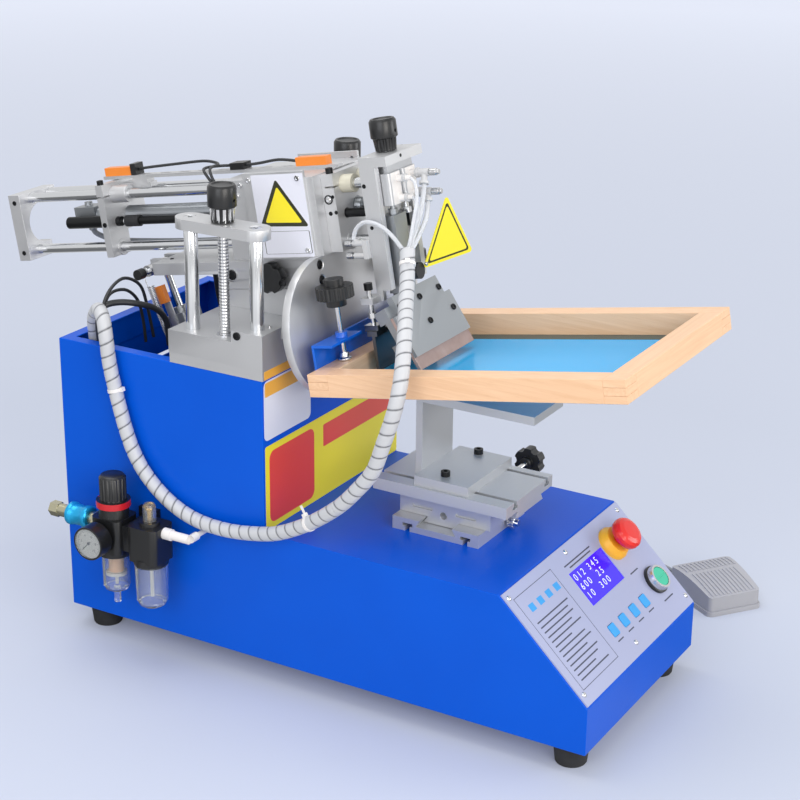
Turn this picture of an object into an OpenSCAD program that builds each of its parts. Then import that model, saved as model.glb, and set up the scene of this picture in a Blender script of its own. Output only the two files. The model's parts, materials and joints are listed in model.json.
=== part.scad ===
// Bench flatbed screen printer: a stepped sheet-metal cabinet, a tilting head that
// carries a wooden screen and an air driven print carriage, an adjustable work stage,
// an air service unit on the left wall and a foot switch on a lead.
// Millimetres, +Z up, +X to the operator's right, -Y towards the operator.
// Heights are counted from the underside of the cabinet, Y from the front of its tall part.

/* [Cabinet] */
// Width of the cabinet, left to right
cabinet_w = 300; // [290:2:330]
// Depth of the tall rear part
tower_depth = 292; // [280:2:320]
// Depth of the level deck in front of the tall part
deck_depth = 304; // [296:2:330]
// Depth of the sloping nose
nose_depth = 111; // [100:1:125]
// Height of the tall part
tower_h = 351; // [340:1:380]
// Height of the deck
deck_h = 165; // [155:1:170]
// Height of the nose's upright front face
nose_h = 57; // [45:1:65]
// Thickness of the cabinet sheet
sheet_t = 2; // [1.5:0.5:3]
// Height of a rubber foot
foot_h = 29; // [22:1:35]
// Diameter of a rubber foot at its top
foot_d = 42; // [34:1:48]

/* [Height adjuster] */
// Thickness of the fixed plate on the cabinet
base_plate_t = 12; // [10:0.5:16]
// Depth of the fixed plate and the moving plate
plate_depth = 130; // [124:1:140]
// Thickness of the moving plate
lift_plate_t = 27.5; // [22:0.5:32]
// Height of the guide blocks on the moving plate
guide_block_h = 14; // [10:1:20]
// Diameter of a guide pillar
pillar_d = 16; // [12:1:18]
// Distance of the pillars and screws from the cabinet's side walls
pillar_inset = 19; // [18:0.5:22]
// Length of a pillar between the fixed plate and the bridge
pillar_len = 147; // [140:1:170]
// Thickness of a bridge plate
bridge_t = 12.5; // [10:0.5:16]
// Diameter of the height screw
lift_screw_d = 12; // [10:1:14]
// Diameter of the black knobs on the height screws and the head
knob_d = 33; // [28:1:36]
// Height of the black knobs
knob_h = 42; // [34:1:48]

/* [Tilting head] */
// Angle by which the head stands raised at rest
head_tilt = 10; // [8:0.5:12]
// Height of the tilt shaft above the moving plate
pivot_h = 51.3; // [50:0.5:60]
// Diameter of the tilt shaft
pivot_d = 14; // [10:1:16]
// Width of the tilting beam
beam_w = 80; // [76:1:90]
// Thickness of the tilting beam's front block
beam_t = 33; // [31:1:36]
// Thickness of the beam's rear arm
arm_t = 15; // [12:1:18]
// Width of the round-ended faceplate
faceplate_w = 280; // [276:1:300]
// Height of the round-ended faceplate
faceplate_h = 158; // [150:1:162]
// Thickness of the faceplate
faceplate_t = 10; // [8:0.5:12]

/* [Print carriage] */
// Diameter of the three guide rods
rod_d = 12; // [10:1:14]
// Distance between the two upper rods
rod_pitch = 36; // [34:1:40]
// Outer diameter of a linear bush
bush_d = 21; // [19:1:23]
// Length of a linear bush
bush_len = 30; // [26:1:32]
// Length of the guide rods between the head plate and the rear end plate
rod_len = 509; // [500:1:530]
// Diameter of the print cylinder's barrel
barrel_d = 22; // [18:1:24]
// Width of the squeegee and the flood bar
squeegee_w = 124; // [100:1:150]
// Angle by which the squeegee leans forward
squeegee_lean = 25; // [22:1:28]

/* [Screen] */
// Width of the wooden screen, left to right
screen_w = 284; // [276:1:300]
// Length of the wooden screen, front to rear
screen_len = 386; // [360:1:400]
// Width of a wooden rail
rail_w = 26; // [22:1:30]
// Height of a wooden rail
rail_h = 26; // [22:1:28]

/* [Work stage] */
// Width of the stage plates
stage_w = 116; // [110:1:130]
// Height of the fixed dovetail base
stage_base_h = 16; // [14:0.5:18]
// Height of the cross block
cross_block_h = 27.5; // [24:0.5:30]
// Length of the slotted table
table_len = 174; // [160:1:180]
// Thickness of the slotted table
table_t = 14; // [12:0.5:16]
// Gap between the level screen's mesh and the platen
off_contact = 2; // [1:0.5:5]
// Width of the upright and the platen
platen_w = 73; // [60:1:90]
// Length of the platen
platen_len = 150; // [130:1:160]
// Thickness of the platen
platen_t = 10; // [8:0.5:12]

/* [Air service unit] */
// Distance from the side wall to the axis of the unit
frl_reach = 37; // [34:1:42]
// Distance between the regulator and the lubricator
frl_pitch = 53; // [48:1:58]
// Diameter of the lubricator bowl
bowl_d = 40; // [34:1:42]

/* [Foot switch] */
// Width of the foot switch at its toe
pedal_toe_w = 80; // [70:1:90]
// Width of the foot switch at its heel
pedal_heel_w = 91; // [80:1:100]
// Length of the foot switch
pedal_len = 95; // [85:1:110]
// Height of the foot switch at its heel
pedal_h = 36; // [32:1:42]

/* [Hidden] */

$fn = 64;
// Play between a shaft and the hole that it turns or slides in
run = 0.05;
// Play between flat faces that slide past each other
slip = 0.4;
// Smallest gap kept between pieces that pass each other
gap = 1;

half_w = cabinet_w / 2;
slope_a = atan2(deck_h - nose_h, nose_depth);
slope_len = norm([deck_h - nose_h, nose_depth]);
front_y = -(deck_depth + nose_depth);

// Place of the object's reference point: the middle of the box round it, on the floor
ref_x = 86;
ref_y = 12;

base_top = tower_h + base_plate_t;
lift_top = base_top + lift_plate_t;
block_top = lift_top + guide_block_h;
pillar_x = half_w - pillar_inset;
pillar_y = [18, 107];
screw_y = (pillar_y[0] + pillar_y[1]) / 2;
bridge_z = base_top + pillar_len;
bridge_w = 34;
plate_y0 = -1;

// Tilt frame: local y runs rearwards along the beam and local z is square to it
pivot_y = 8.2;
pivot_z = lift_top + pivot_h;
pivot_a = 6;
pivot_b = 13;
beam_bottom = 2;
beam_top = beam_bottom + beam_t;
beam_front = -17;
block_rear = 128;
arm_rear = 252;
face_front = beam_front - faceplate_t;
face_top = 43;
arm_pin_a = 246;
arm_pin_b = 24;

rod_b = 118;
low_rod_b = 52.5;
rod_x = rod_pitch / 2;
rod_pos = [[-rod_x, rod_b], [rod_x, rod_b], [-rod_x, low_rod_b]];
cyl_x = 5;
cyl_b = 88;
stop_x = -20;
stop_b = 84.5;
stop_rod_d = 10;
housing_front = -31;
housing_rear = 95;
housing_top = 134;
front_bearing_a = -35;
bearing_t = [12, 10];
head_rear = -84;
head_back_t = 8;
head_t = 20;
rear_plate_a = head_rear + rod_len;
rear_plate_t = 18;
carriage_travel = 120;
rear_bearing_a = rear_plate_a - carriage_travel - 16;

frame_rear = -43;
frame_top = -71.2;
frame_bottom = frame_top - rail_h;
web_t = 3;
clamp_x = 82;
clamp_a = -56;
tab_top = -44;
mesh_t = 0.6;

stage_y = -174;
stage_base_top = deck_h + stage_base_h;
cross_top = stage_base_top + cross_block_h;
table_top = cross_top + table_t + 0.5;
platen_top = pivot_z - pivot_b + frame_bottom - mesh_t - off_contact;
platen_rear = -134.5;

frl_x = -(half_w + frl_reach);
frl_y = 190;
oiler_y = frl_y - frl_pitch;
frl_z = 137;

tube_fn = 10;

// Round-number points along the spiral-wrapped hose, from the cabinet to the head
hose_d = 17;
hose_pts = [[-118, 262, 300], [-120, 260, 340], [-128, 255, 374], [-141, 237, 393],
    [-156, 218, 388], [-162, 210, 366], [-162, 205, 328], [-162, 187, 260], [-162, 170, 222],
    [-162, 146, 195], [-162, 117, 176], [-163, 84, 166], [-165, 43, 165], [-167, 2, 171],
    [-170, -35, 182], [-174, -77, 205], [-178, -117, 235], [-180, -143, 262], [-180, -164, 290],
    [-180, -177, 325], [-178, -186, 354], [-173, -190, 379], [-162, -188, 402],
    [-133, -174, 432], [-102, -157, 451], [-72, -141, 471], [-51, -129, 500]];

// Round-number points along the foot switch's lead, from the switch to the rear panel
cord_d = 5.5;
cord_pts = [[361, -321, -22], [370, -309, -23], [384, -288, -25], [400, -255, -26], [424, -180, -26],
    [434, -100, -26], [430, 0, -26], [410, 100, -26], [370, 190, -26], [310, 270, -26],
    [235, 335, -26], [150, 375, -26], [70, 385, -26], [10, 372, -20], [-30, 350, 8],
    [-48, 334, 40], [-50, 325, 56], [-50, 312, 60]];

// Where the foot switch stands: its toe's left bottom corner and its heading
pedal_at = [282, -386];
pedal_turn = -37;

// Helpers: a box between two corners, an upright profile and three reference frames
module span(p, q) translate(p) cube(q - p);
module tube(d, bore, h) difference() {
    cylinder(d = d, h = h);
    translate([0, 0, -1]) cylinder(d = bore, h = h + 2);
}
module along_x(len) rotate([90, 0, 90]) linear_extrude(len) children();
module along_y() rotate([-90, 0, 0]) children();
module both_sides() for (s = [-1, 1]) scale([s, 1, 1]) children();
module placed() translate([-ref_x, -ref_y, foot_h]) children();
module tilted() placed() translate([0, pivot_y, pivot_z]) rotate([-head_tilt, 0, 0])
    translate([0, -pivot_a, -pivot_b]) children();
module on_slope(x, w, h = 0) placed()
    translate([x, -deck_depth - w * cos(slope_a), deck_h - w * sin(slope_a)])
    rotate([slope_a, 0, 0]) translate([0, 0, h]) children();

// Corner points of a polygon moved inwards by t, for points given anticlockwise
function unit(v) = v / norm(v);
function turned(v) = [-v[1], v[0]];
function inset(p, t) = let (n = len(p)) [for (i = [0:n - 1])
    let (a = turned(unit(p[i] - p[(i + n - 1) % n])), b = turned(unit(p[(i + 1) % n] - p[i])))
    p[i] + (a + b) * t / (1 + a * b)];

// A plate outline with round ends, centred on the origin
module stadium(w, h) {
    r = min(w, h) / 2;
    square([max(w - 2 * r, 0.01), h], center = true);
    for (s = [-1, 1]) translate([s * (w / 2 - r), 0]) circle(r);
}

// A rounded rectangle centred on the origin
module round_rect(w, h, r) {
    square([w - 2 * r, h], center = true);
    square([w, h - 2 * r], center = true);
    for (x = [-1, 1], y = [-1, 1]) translate([x * (w / 2 - r), y * (h / 2 - r)]) circle(r);
}

// Smooth path through given points and the tube that follows it
function bend(a, b, c, d, t) = 0.5 * (2 * b + (c - a) * t + (2 * a - 5 * b + 4 * c - d) * t * t
    + (3 * b - a - 3 * c + d) * t * t * t);
function smooth(p, k) = let (n = len(p)) [
    for (i = [0:n - 2], j = [0:k - 1])
        bend(p[max(i - 1, 0)], p[i], p[i + 1], p[min(i + 2, n - 1)], j / k),
    p[n - 1]];
function heading(p, i) = unit(p[min(i + 1, len(p) - 1)] - p[max(i - 1, 0)]);
function across(t) = unit(cross(t, abs(t[0]) < 0.9 ? [1, 0, 0] : [0, 1, 0]));
module swept(p, d, sides) {
    n = len(p);
    pts = [for (i = [0:n - 1]) let (t = heading(p, i), u = across(t), v = cross(t, u))
        for (k = [0:sides - 1]) p[i] + d / 2 * (u * cos(360 * k / sides) + v * sin(360 * k / sides))];
    walls = [for (i = [0:n - 2], k = [0:sides - 1]) let (m = (k + 1) % sides)
        [i * sides + k, (i + 1) * sides + k, (i + 1) * sides + m, i * sides + m]];
    polyhedron(pts, concat([[for (k = [0:sides - 1]) k]],
        [[for (k = [sides - 1:-1:0]) (n - 1) * sides + k]], walls), convexity = 10);
}

// Cabinet: folded sheet shell, open over the rear bin, at the nose slope and at the back
cabinet_side = [[front_y, 0], [tower_depth, 0], [tower_depth, tower_h], [0, tower_h],
    [0, deck_h], [-deck_depth, deck_h], [front_y, nose_h]];
bin_margin = 15;
bin_front = 118;
module cabinet() color("dodgerblue") difference() {
    placed() translate([-half_w, 0, 0]) along_x(cabinet_w) polygon(cabinet_side);
    placed() translate([sheet_t - half_w, 0, 0]) along_x(cabinet_w - 2 * sheet_t)
        polygon(inset(cabinet_side, sheet_t));
    placed() span([bin_margin - half_w, bin_front, tower_h - sheet_t - 1],
        [half_w - bin_margin, tower_depth - bin_margin, tower_h + 1]);
    on_slope(0, slope_len / 2, -sheet_t - 1)
        translate([20 - half_w, 20 - slope_len / 2, 0]) cube([cabinet_w - 40, slope_len - 40, sheet_t + 3]);
    placed() span([20 - half_w, tower_depth - sheet_t - 1, 30],
        [half_w - 20, tower_depth + 1, tower_h - 40]);
}

// Rear panel: screwed-on sheet with louvres, the mains inlet and the foot switch socket
panel_t = 1.5;
socket_at = [-50, 60];
inlet_at = [70, 75];
inlet_w = 48;
inlet_h = 28;
module rear_panel() placed() {
    color("dodgerblue") difference() {
        span([12 - half_w, tower_depth, 20], [half_w - 12, tower_depth + panel_t, tower_h - 30]);
        for (i = [0:7], s = [-1, 1])
            translate([s * 60, tower_depth - 1, 160 + i * 16]) rotate([-90, 0, 0])
                linear_extrude(panel_t + 2) stadium(70, 5);
        translate([inlet_at[0], tower_depth - 1, inlet_at[1]]) rotate([-90, 0, 0])
            linear_extrude(panel_t + 2) square([inlet_w, inlet_h], center = true);
        translate([socket_at[0], tower_depth - 1, socket_at[1]]) along_y()
            cylinder(d = 16, h = panel_t + 2);
    }
    color("dimgray") translate([inlet_at[0], tower_depth + panel_t, inlet_at[1]]) rotate([90, 0, 0])
        difference() {
            translate([0, 0, -3]) linear_extrude(3) round_rect(inlet_w + 8, inlet_h + 8, 3);
            translate([-7, 0, -4]) linear_extrude(5) round_rect(26, 19, 2);
        }
    color("dimgray") difference() {
        span([inlet_at[0] - inlet_w / 2 + gap / 2, tower_depth - 26, inlet_at[1] - inlet_h / 2 + gap / 2],
            [inlet_at[0] + inlet_w / 2 - gap / 2, tower_depth + panel_t, inlet_at[1] + inlet_h / 2 - gap / 2]);
        translate([inlet_at[0] + 7, tower_depth + 2, inlet_at[1]]) rotate([90, 0, 0])
            translate([-14, 0, 0]) linear_extrude(20) round_rect(26, 19, 2);
    }
    color("silver") translate([socket_at[0], tower_depth + panel_t, socket_at[1]]) along_y() {
        tube(22, 8, 3);
        translate([0, 0, 3]) tube(18, 8, 22);
    }
}

// Feet: four tapered rubber buffers with a recessed washer seat
foot_x = half_w - 30;
foot_ys = [front_y + 30, tower_depth - 30];
module rubber_feet() color("#202020") placed()
    for (x = [-foot_x, foot_x], y = foot_ys) translate([x, y, -foot_h]) difference() {
        rotate_extrude() polygon([[0, 0], [foot_d / 2 - 4, 0], [foot_d / 2 - 3, 1.5],
            [foot_d / 2, foot_h - 3], [foot_d / 2 - 1, foot_h], [0, foot_h]]);
        translate([0, 0, -1]) cylinder(d = 12, h = 7);
    }

// Control panel: cover plate on the slope with a display window, and the switch bezels
plate_gap = 2;
plate_t = 2;
plate_w = cabinet_w - 2 * plate_gap;
display_at = [19.5, 54.5];
display_w = 86;
display_l = 45;
key_x0 = -21;
key_pitch = 28.5;
key_w = 112;
key_size = [14, 15];
key_r = 2;
estop_at = [84, 38];
start_at = [109, 103];
switch_d = 22;
module control_panel() {
    color("lightsteelblue") difference() {
        on_slope(0, slope_len / 2) translate([-plate_w / 2, plate_gap - slope_len / 2, 0])
            cube([plate_w, slope_len - 2 * plate_gap, plate_t]);
        on_slope(display_at[0], display_at[1], -1) linear_extrude(plate_t + 2)
            square([display_w, display_l], center = true);
        for (i = [0:3]) on_slope(key_x0 + i * key_pitch, key_w, -1)
            linear_extrude(plate_t + 2) round_rect(key_size[0] + 2 * slip, key_size[1] + 2 * slip, key_r + slip);
        for (p = [estop_at, start_at]) on_slope(p[0], p[1], -1) cylinder(d = switch_d, h = plate_t + 2);
    }
    color("navy") on_slope(display_at[0], display_at[1], -4) linear_extrude(5)
        square([display_w, display_l], center = true);
    color("gold") on_slope(estop_at[0], estop_at[1], plate_t) difference() {
        rotate_extrude() polygon([[0, 0], [21, 0], [21, 4], [17, 12], [0, 12]]);
        translate([0, 0, -1]) cylinder(d = 14 + 2 * slip, h = 20);
    }
    color("silver") on_slope(start_at[0], start_at[1], plate_t) difference() {
        rotate_extrude() polygon([[0, 0], [16, 0], [16, 6], [15, 11], [0, 11]]);
        translate([0, 0, -1]) cylinder(d = 24 + 2 * slip, h = 20);
    }
    color("#202020") for (p = [estop_at, start_at]) on_slope(p[0], p[1], -32) difference() {
        cylinder(d = switch_d - 0.2, h = 32 + plate_t);
        translate([0, 0, 16]) cylinder(d = 14 + 2 * slip, h = 20);
    }
}

// Emergency stop: mushroom head on a stem, pushed 4 mm into its collar
module estop_button() color("red") on_slope(estop_at[0], estop_at[1], plate_t) {
    translate([0, 0, -8]) cylinder(d = 14, h = 26);
    translate([0, 0, 17]) rotate_extrude() polygon([[0, 0], [11, 0], [19, 4], [20, 8], [19.5, 12],
        [17, 15.5], [12, 17.5], [0, 18]]);
}

// Start button: flush lens with a slot line across it
module start_button() color("mediumseagreen") on_slope(start_at[0], start_at[1], plate_t) difference() {
    union() {
        translate([0, 0, 3.5]) cylinder(d = 24, h = 7);
        translate([0, 0, -8]) cylinder(d = 14, h = 12);
    }
    translate([-10, -1, 10]) cube([20, 2, 2]);
}

// Keys: rounded square caps that stand just above the panel, with a flange below it
module panel_key(i) color("royalblue") on_slope(key_x0 + i * key_pitch, key_w, 0) {
    translate([0, 0, -2.5]) linear_extrude(plate_t + 3.5) round_rect(key_size[0], key_size[1], key_r);
    translate([0, 0, -4]) linear_extrude(1.5) round_rect(key_size[0] + 3, key_size[1] + 3, key_r + 1.5);
}

// Fixed plate on the tall part's roof, with sockets for the pillars
module base_plate() color("silver") placed() difference() {
    span([-half_w, plate_y0, tower_h], [half_w, plate_y0 + plate_depth - 1, base_top]);
    for (s = [-1, 1], y = pillar_y) translate([s * pillar_x, y, tower_h - 1])
        cylinder(d = pillar_d - 4, h = base_plate_t + 2);
}

// Guide pillars: shouldered columns held by countersunk screws in the bridge
module guide_pillars() color("lightgray") placed()
    for (s = [-1, 1], y = pillar_y) translate([s * pillar_x, y, 0]) difference() {
        union() {
            translate([0, 0, tower_h]) cylinder(d = pillar_d - 4, h = base_plate_t + 1);
            translate([0, 0, base_top]) cylinder(d = pillar_d, h = pillar_len);
            translate([0, 0, bridge_z - 1]) cylinder(d = 8, h = bridge_t);
            translate([0, 0, bridge_z + bridge_t - 4.5]) cylinder(d1 = 8, d2 = 15, h = 4);
        }
        translate([0, 0, bridge_z + bridge_t - 3.5]) cylinder(d = 5.8, h = 8, $fn = 6);
    }

// Bridge plates: one across each pair of pillars, with the height screw's bearing
module bridge_plates() color("silver") placed() for (s = [-1, 1]) difference() {
    translate([s * pillar_x, screw_y, bridge_z]) rotate([0, 0, 90]) linear_extrude(bridge_t)
        stadium(pillar_y[1] - pillar_y[0] + bridge_w, bridge_w);
    for (y = pillar_y) translate([s * pillar_x, y, bridge_z - 1]) {
        cylinder(d = 8, h = bridge_t + 2);
        translate([0, 0, bridge_t - 3.5]) cylinder(d1 = 8, d2 = 15, h = 4);
        translate([0, 0, bridge_t + 0.4]) cylinder(d = 15, h = 2);
    }
    translate([s * pillar_x, screw_y, bridge_z - 1])
        cylinder(d = lift_screw_d + 2 * run, h = bridge_t + 2);
}

// Moving plate with a guide block at each front corner, bored for pillars and screws
lift_block_w = 38;
lift_block_l = 42;
nut_d = lift_screw_d + 5;
nut_flange = 1.2;
module lift_plate() {
    color("silver") placed() difference() {
        union() {
            span([-half_w, plate_y0, base_top], [half_w, plate_y0 + plate_depth, lift_top]);
            both_sides() span([half_w - lift_block_w, plate_y0, lift_top],
                [half_w, plate_y0 + lift_block_l, block_top]);
        }
        for (s = [-1, 1], y = pillar_y) translate([s * pillar_x, y, base_top - 1])
            cylinder(d = pillar_d + 2 * run, h = lift_plate_t + guide_block_h + 2);
        for (s = [-1, 1]) translate([s * pillar_x, screw_y, base_top - 1])
            cylinder(d = nut_d + 0.6, h = lift_plate_t + 2);
    }
    // Nuts let into the plate, with a thin flange on top, that the height screws turn in
    color("goldenrod") placed() for (s = [-1, 1]) translate([s * pillar_x, screw_y, lift_top]) difference() {
        union() {
            translate([0, 0, 6 - lift_plate_t]) cylinder(d = nut_d, h = lift_plate_t - 6);
            cylinder(d = nut_d + 3, h = nut_flange);
        }
        translate([0, 0, -lift_plate_t]) cylinder(d = lift_screw_d + 2 * run, h = lift_plate_t + nut_flange + 1);
    }
    // Hanger behind the plate that holds the tilt cylinder's lower pin
    color("silver") placed() difference() {
        union() {
            span([-24, plate_y0 + plate_depth, hanger_z - 20], [24, plate_y0 + plate_depth + 12, lift_top]);
            for (s = [-1, 1]) translate([s * 15 - 4, 0, 0]) along_x(8)
                polygon([[plate_y0 + plate_depth + 12, hanger_z - 20], [cyl_foot[0], hanger_z - 10],
                    [cyl_foot[0] + 10, hanger_z], [cyl_foot[0], hanger_z + 10],
                    [plate_y0 + plate_depth + 12, hanger_z + 40]]);
        }
        translate([-30, cyl_foot[0], hanger_z]) rotate([0, 90, 0]) cylinder(d = cyl_pin_d, h = 60);
    }
    color("lightgray") placed() translate([-spring_pin, cyl_foot[0], hanger_z]) rotate([0, 90, 0])
        cylinder(d = cyl_pin_d, h = spring_pin + 21);
}

// Fluted knob: upper band with a dished top over a ribbed skirt, axis up, seat at the origin
module fluted_knob(d, h) difference() {
    rotate_extrude() polygon([[0, 0], [d / 2 - 3.5, 0], [d / 2 - 2, h * 0.38], [d / 2, h * 0.42],
        [d / 2, h - 3], [d / 2 - 2, h], [d / 2 - 4, h], [d / 2 - 5, h - 1.2], [0, h - 1.2]]);
    for (i = [0:11]) rotate(i * 30) translate([d / 2 - 2.2, 0, -1]) cylinder(d = 4, h = h * 0.38 + 1);
    translate([0, 0, h * 0.6]) rotate([90, 0, 0]) cylinder(d = 4, h = d);
}

// Height screw and knob; the screw turns in the bridge and the brass nut
module height_knob(s) placed() translate([s * pillar_x, screw_y, 0]) {
    color("#303030") translate([0, 0, bridge_z + bridge_t + gap]) fluted_knob(knob_d, knob_h);
    color("silver") translate([0, 0, base_top + 2])
        cylinder(d = lift_screw_d, h = bridge_z + bridge_t + 3 - base_top);
}

// Pedestal: wedge under the beam with two cheeks that carry the tilt shaft
pedestal_rear = 125;
cheek_t = 12;
cheek_r = 12;
module pedestal() {
    color("silver") difference() {
        union() {
            placed() translate([-beam_w / 2, 0, 0]) along_x(beam_w)
                polygon([[10, lift_top], [pedestal_rear, lift_top], [pedestal_rear, stop_z(pedestal_rear)],
                    [10, stop_z(10)]]);
            placed() both_sides() translate([beam_w / 2 + slip, 0, 0]) {
                span([0, pivot_y - cheek_r, lift_top], [cheek_t, pivot_y + cheek_r + 4, pivot_z]);
                translate([0, pivot_y, pivot_z]) rotate([0, 90, 0]) cylinder(r = cheek_r, h = cheek_t);
            }
            placed() span([-beam_w / 2 - cheek_t - slip, pivot_y - cheek_r, lift_top],
                [beam_w / 2 + cheek_t + slip, pivot_y + cheek_r + 4, lift_top + 12]);
        }
        placed() translate([-100, pivot_y, pivot_z]) rotate([0, 90, 0]) cylinder(d = pivot_d, h = 200);
    }
    color("lightgray") placed() translate([-beam_w / 2 - cheek_t - slip, pivot_y, pivot_z])
        rotate([0, 90, 0]) cylinder(d = pivot_d, h = beam_w + 2 * cheek_t + 2 * slip);
}
// Height of the beam's underside above a place y, less the rest gap
function stop_z(y) = pivot_z - (pivot_b - beam_bottom) / cos(head_tilt) - (y - pivot_y) * tan(head_tilt) - 0.5;

// Tilting beam: bored front block, a thinner rear arm and the lug for the tilt cylinder
module tilt_beam() {
    arm_pin_piece();
    beam_casting();
}
module beam_casting() color("silver") tilted() difference() {
    union() {
        span([-beam_w / 2, beam_front, beam_bottom], [beam_w / 2, block_rear, beam_top]);
        span([-beam_w / 2, block_rear, beam_top - arm_t], [beam_w / 2, arm_rear - 20, beam_top]);
        for (s = [-1, 1]) translate([s * 14 - 4, 0, 0]) span([0, arm_rear - 20.01, beam_top - arm_t],
            [8, arm_rear, beam_top]);
        for (s = [-1, 1]) translate([s * 14 - 4, arm_pin_a, arm_pin_b]) rotate([0, 90, 0])
            cylinder(r = 9, h = 8);
    }
    translate([-100, pivot_a, pivot_b]) rotate([0, 90, 0]) cylinder(d = pivot_d + 2 * run, h = 200);
    translate([-100, arm_pin_a, arm_pin_b]) rotate([0, 90, 0]) cylinder(d = cyl_pin_d, h = 200);
    translate([-beam_w / 2 - 1, 116, 17.8]) rotate([0, 90, 0]) cylinder(d = 15, h = 9);
    translate([-beam_w / 2 - 1, 49, 18]) rotate([0, 90, 0]) cylinder(d = 8 + 2 * run, h = 31);
}

// Pin through the arm's fork, its left end held out for the return spring, with a cap
spring_pin = 43;
module arm_pin_piece() {
    color("lightgray") tilted() translate([-spring_pin, arm_pin_a, arm_pin_b]) rotate([0, 90, 0])
        cylinder(d = cyl_pin_d, h = spring_pin + 21);
    color("#202020") tilted() translate([-spring_pin - 11, arm_pin_a, arm_pin_b]) rotate([0, 90, 0])
        cylinder(d = cyl_pin_d + 5, h = 11);
}

// Star knob on the beam's left side: six lobes on a stud
module star(d, h, lobes) difference() {
    cylinder(d = d, h = h);
    for (i = [0:lobes - 1]) rotate((i + 0.5) * 360 / lobes) translate([d * 0.56, 0, -1])
        cylinder(d = d * 0.3, h = h + 2);
}
beam_knob_d = 36;
module beam_knob() color("#202020") tilted() translate([-beam_w / 2 - gap, 49, 18]) rotate([0, -90, 0]) {
    translate([0, 0, 5]) star(beam_knob_d, 13, 5);
    cylinder(d = 16, h = 6);
    translate([0, 0, -30]) cylinder(d = 8, h = 31);
}

// Housing round the guide rods: an open-ended box on the beam, and its two side covers
cover_t = 4;
housing_w = 112;
housing_side = 16;
housing_low = beam_top + 6;
module rod_housing() {
    color("gainsboro") tilted() {
        difference() {
            span([-housing_w / 2, housing_front, housing_low], [housing_w / 2, housing_rear, housing_top]);
            span([housing_side - housing_w / 2, housing_front - 1, housing_low + cover_t],
                [housing_w / 2 - housing_side, housing_rear + 1, housing_top - cover_t]);
            span([-housing_w / 2 - 1, housing_front - 1, housing_low - 1], [housing_w / 2 + 1, beam_front, face_top]);
        }
        span([-beam_w / 2, beam_front, beam_top], [beam_w / 2, housing_rear - 8, housing_low]);
    }
    color("gainsboro") tilted() both_sides() translate([housing_w / 2, 0, 0]) difference() {
        span([0, housing_front + 9, 43], [cover_t, 62, housing_top + 8]);
        for (y = [housing_front + 17, 54], z = [51, housing_top]) translate([-1, y, z]) rotate([0, 90, 0])
            cylinder(d = 4.5, h = cover_t + 2);
    }
}

// Bearing plates with split clamps for the linear bushes
bearing_low = 43.5;
bearing_top = rod_b + 15;
module bearing_plate(t, w, low_w) difference() {
    union() {
        span([-beam_w / 2, 0, bearing_low], [low_w, t, bearing_top]);
        span([-beam_w / 2, 0, cyl_b - 16], [w, t, bearing_top]);
    }
    for (p = rod_pos) translate([p[0], -1, p[1]]) along_y() cylinder(d = bush_d, h = t + 2);
    span([-beam_w / 2 - 1, -1, rod_b - 1], [-rod_x, t + 1, rod_b + 1]);
    translate([-beam_w / 2 + 5, t / 2, rod_b - 12]) cylinder(d = 5, h = 40);
    translate([stop_x, -1, stop_b]) along_y() cylinder(d = stop_rod_d + 2, h = t + 2);
    translate([cyl_x, -1, cyl_b]) along_y() cylinder(d = barrel_d, h = t + 2);
}
module bearing_plates() color("lightgray") tilted() {
    translate([0, front_bearing_a - bearing_t[0], 0]) bearing_plate(bearing_t[0], 36, 36);
    span([-beam_w / 2, front_bearing_a, bearing_low], [-beam_w / 2 + 10, housing_front, bearing_top]);
    span([30, front_bearing_a, bearing_low], [36, housing_front, bearing_top]);
    translate([0, rear_bearing_a, 0]) bearing_plate(bearing_t[1], 36, -4);
}

// Linear bushes: three in each bearing plate, the lower ones short and flush in front
bush_seat = [[front_bearing_a - bearing_t[0] - 15, front_bearing_a - bearing_t[0] - 0.5],
    [rear_bearing_a - 24, rear_bearing_a - 0.5]];
module guide_bushes() color("ivory") tilted() for (i = [0:2], seat = bush_seat)
    translate([rod_pos[i][0], seat[i < 2 ? 0 : 1], rod_pos[i][1]]) along_y()
        tube(bush_d, rod_d + 2 * run, i < 2 ? bush_len : bush_len / 2);

// Print cylinder: barrel, nose and rear cap, with its rod's bore
piston_d = barrel_d - 4;
barrel_a = front_bearing_a - bearing_t[0];
cap_a = rear_bearing_a + 46;
module print_cylinder() tilted() {
    color("gray") translate([cyl_x, barrel_a - 8, cyl_b]) along_y() difference() {
        union() {
            translate([0, 0, 8]) cylinder(d = barrel_d, h = cap_a - barrel_a);
            cylinder(d = barrel_d - 4, h = 9);
        }
        translate([0, 0, -1]) cylinder(d = 8 + 2 * run, h = 40);
        translate([0, 0, 20]) cylinder(d = piston_d, h = cap_a - barrel_a - 24);
    }
    color("darkgray") {
        span([cyl_x - 13, cap_a, cyl_b - 13], [cyl_x + 13, cap_a + 32, cyl_b + 13]);
        translate([cyl_x, cap_a + 18, cyl_b + 13]) cylinder(d = 10, h = 5);
        translate([cyl_x, cap_a + 18, cyl_b - 18]) cylinder(d = 10, h = 5);
    }
}

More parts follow.
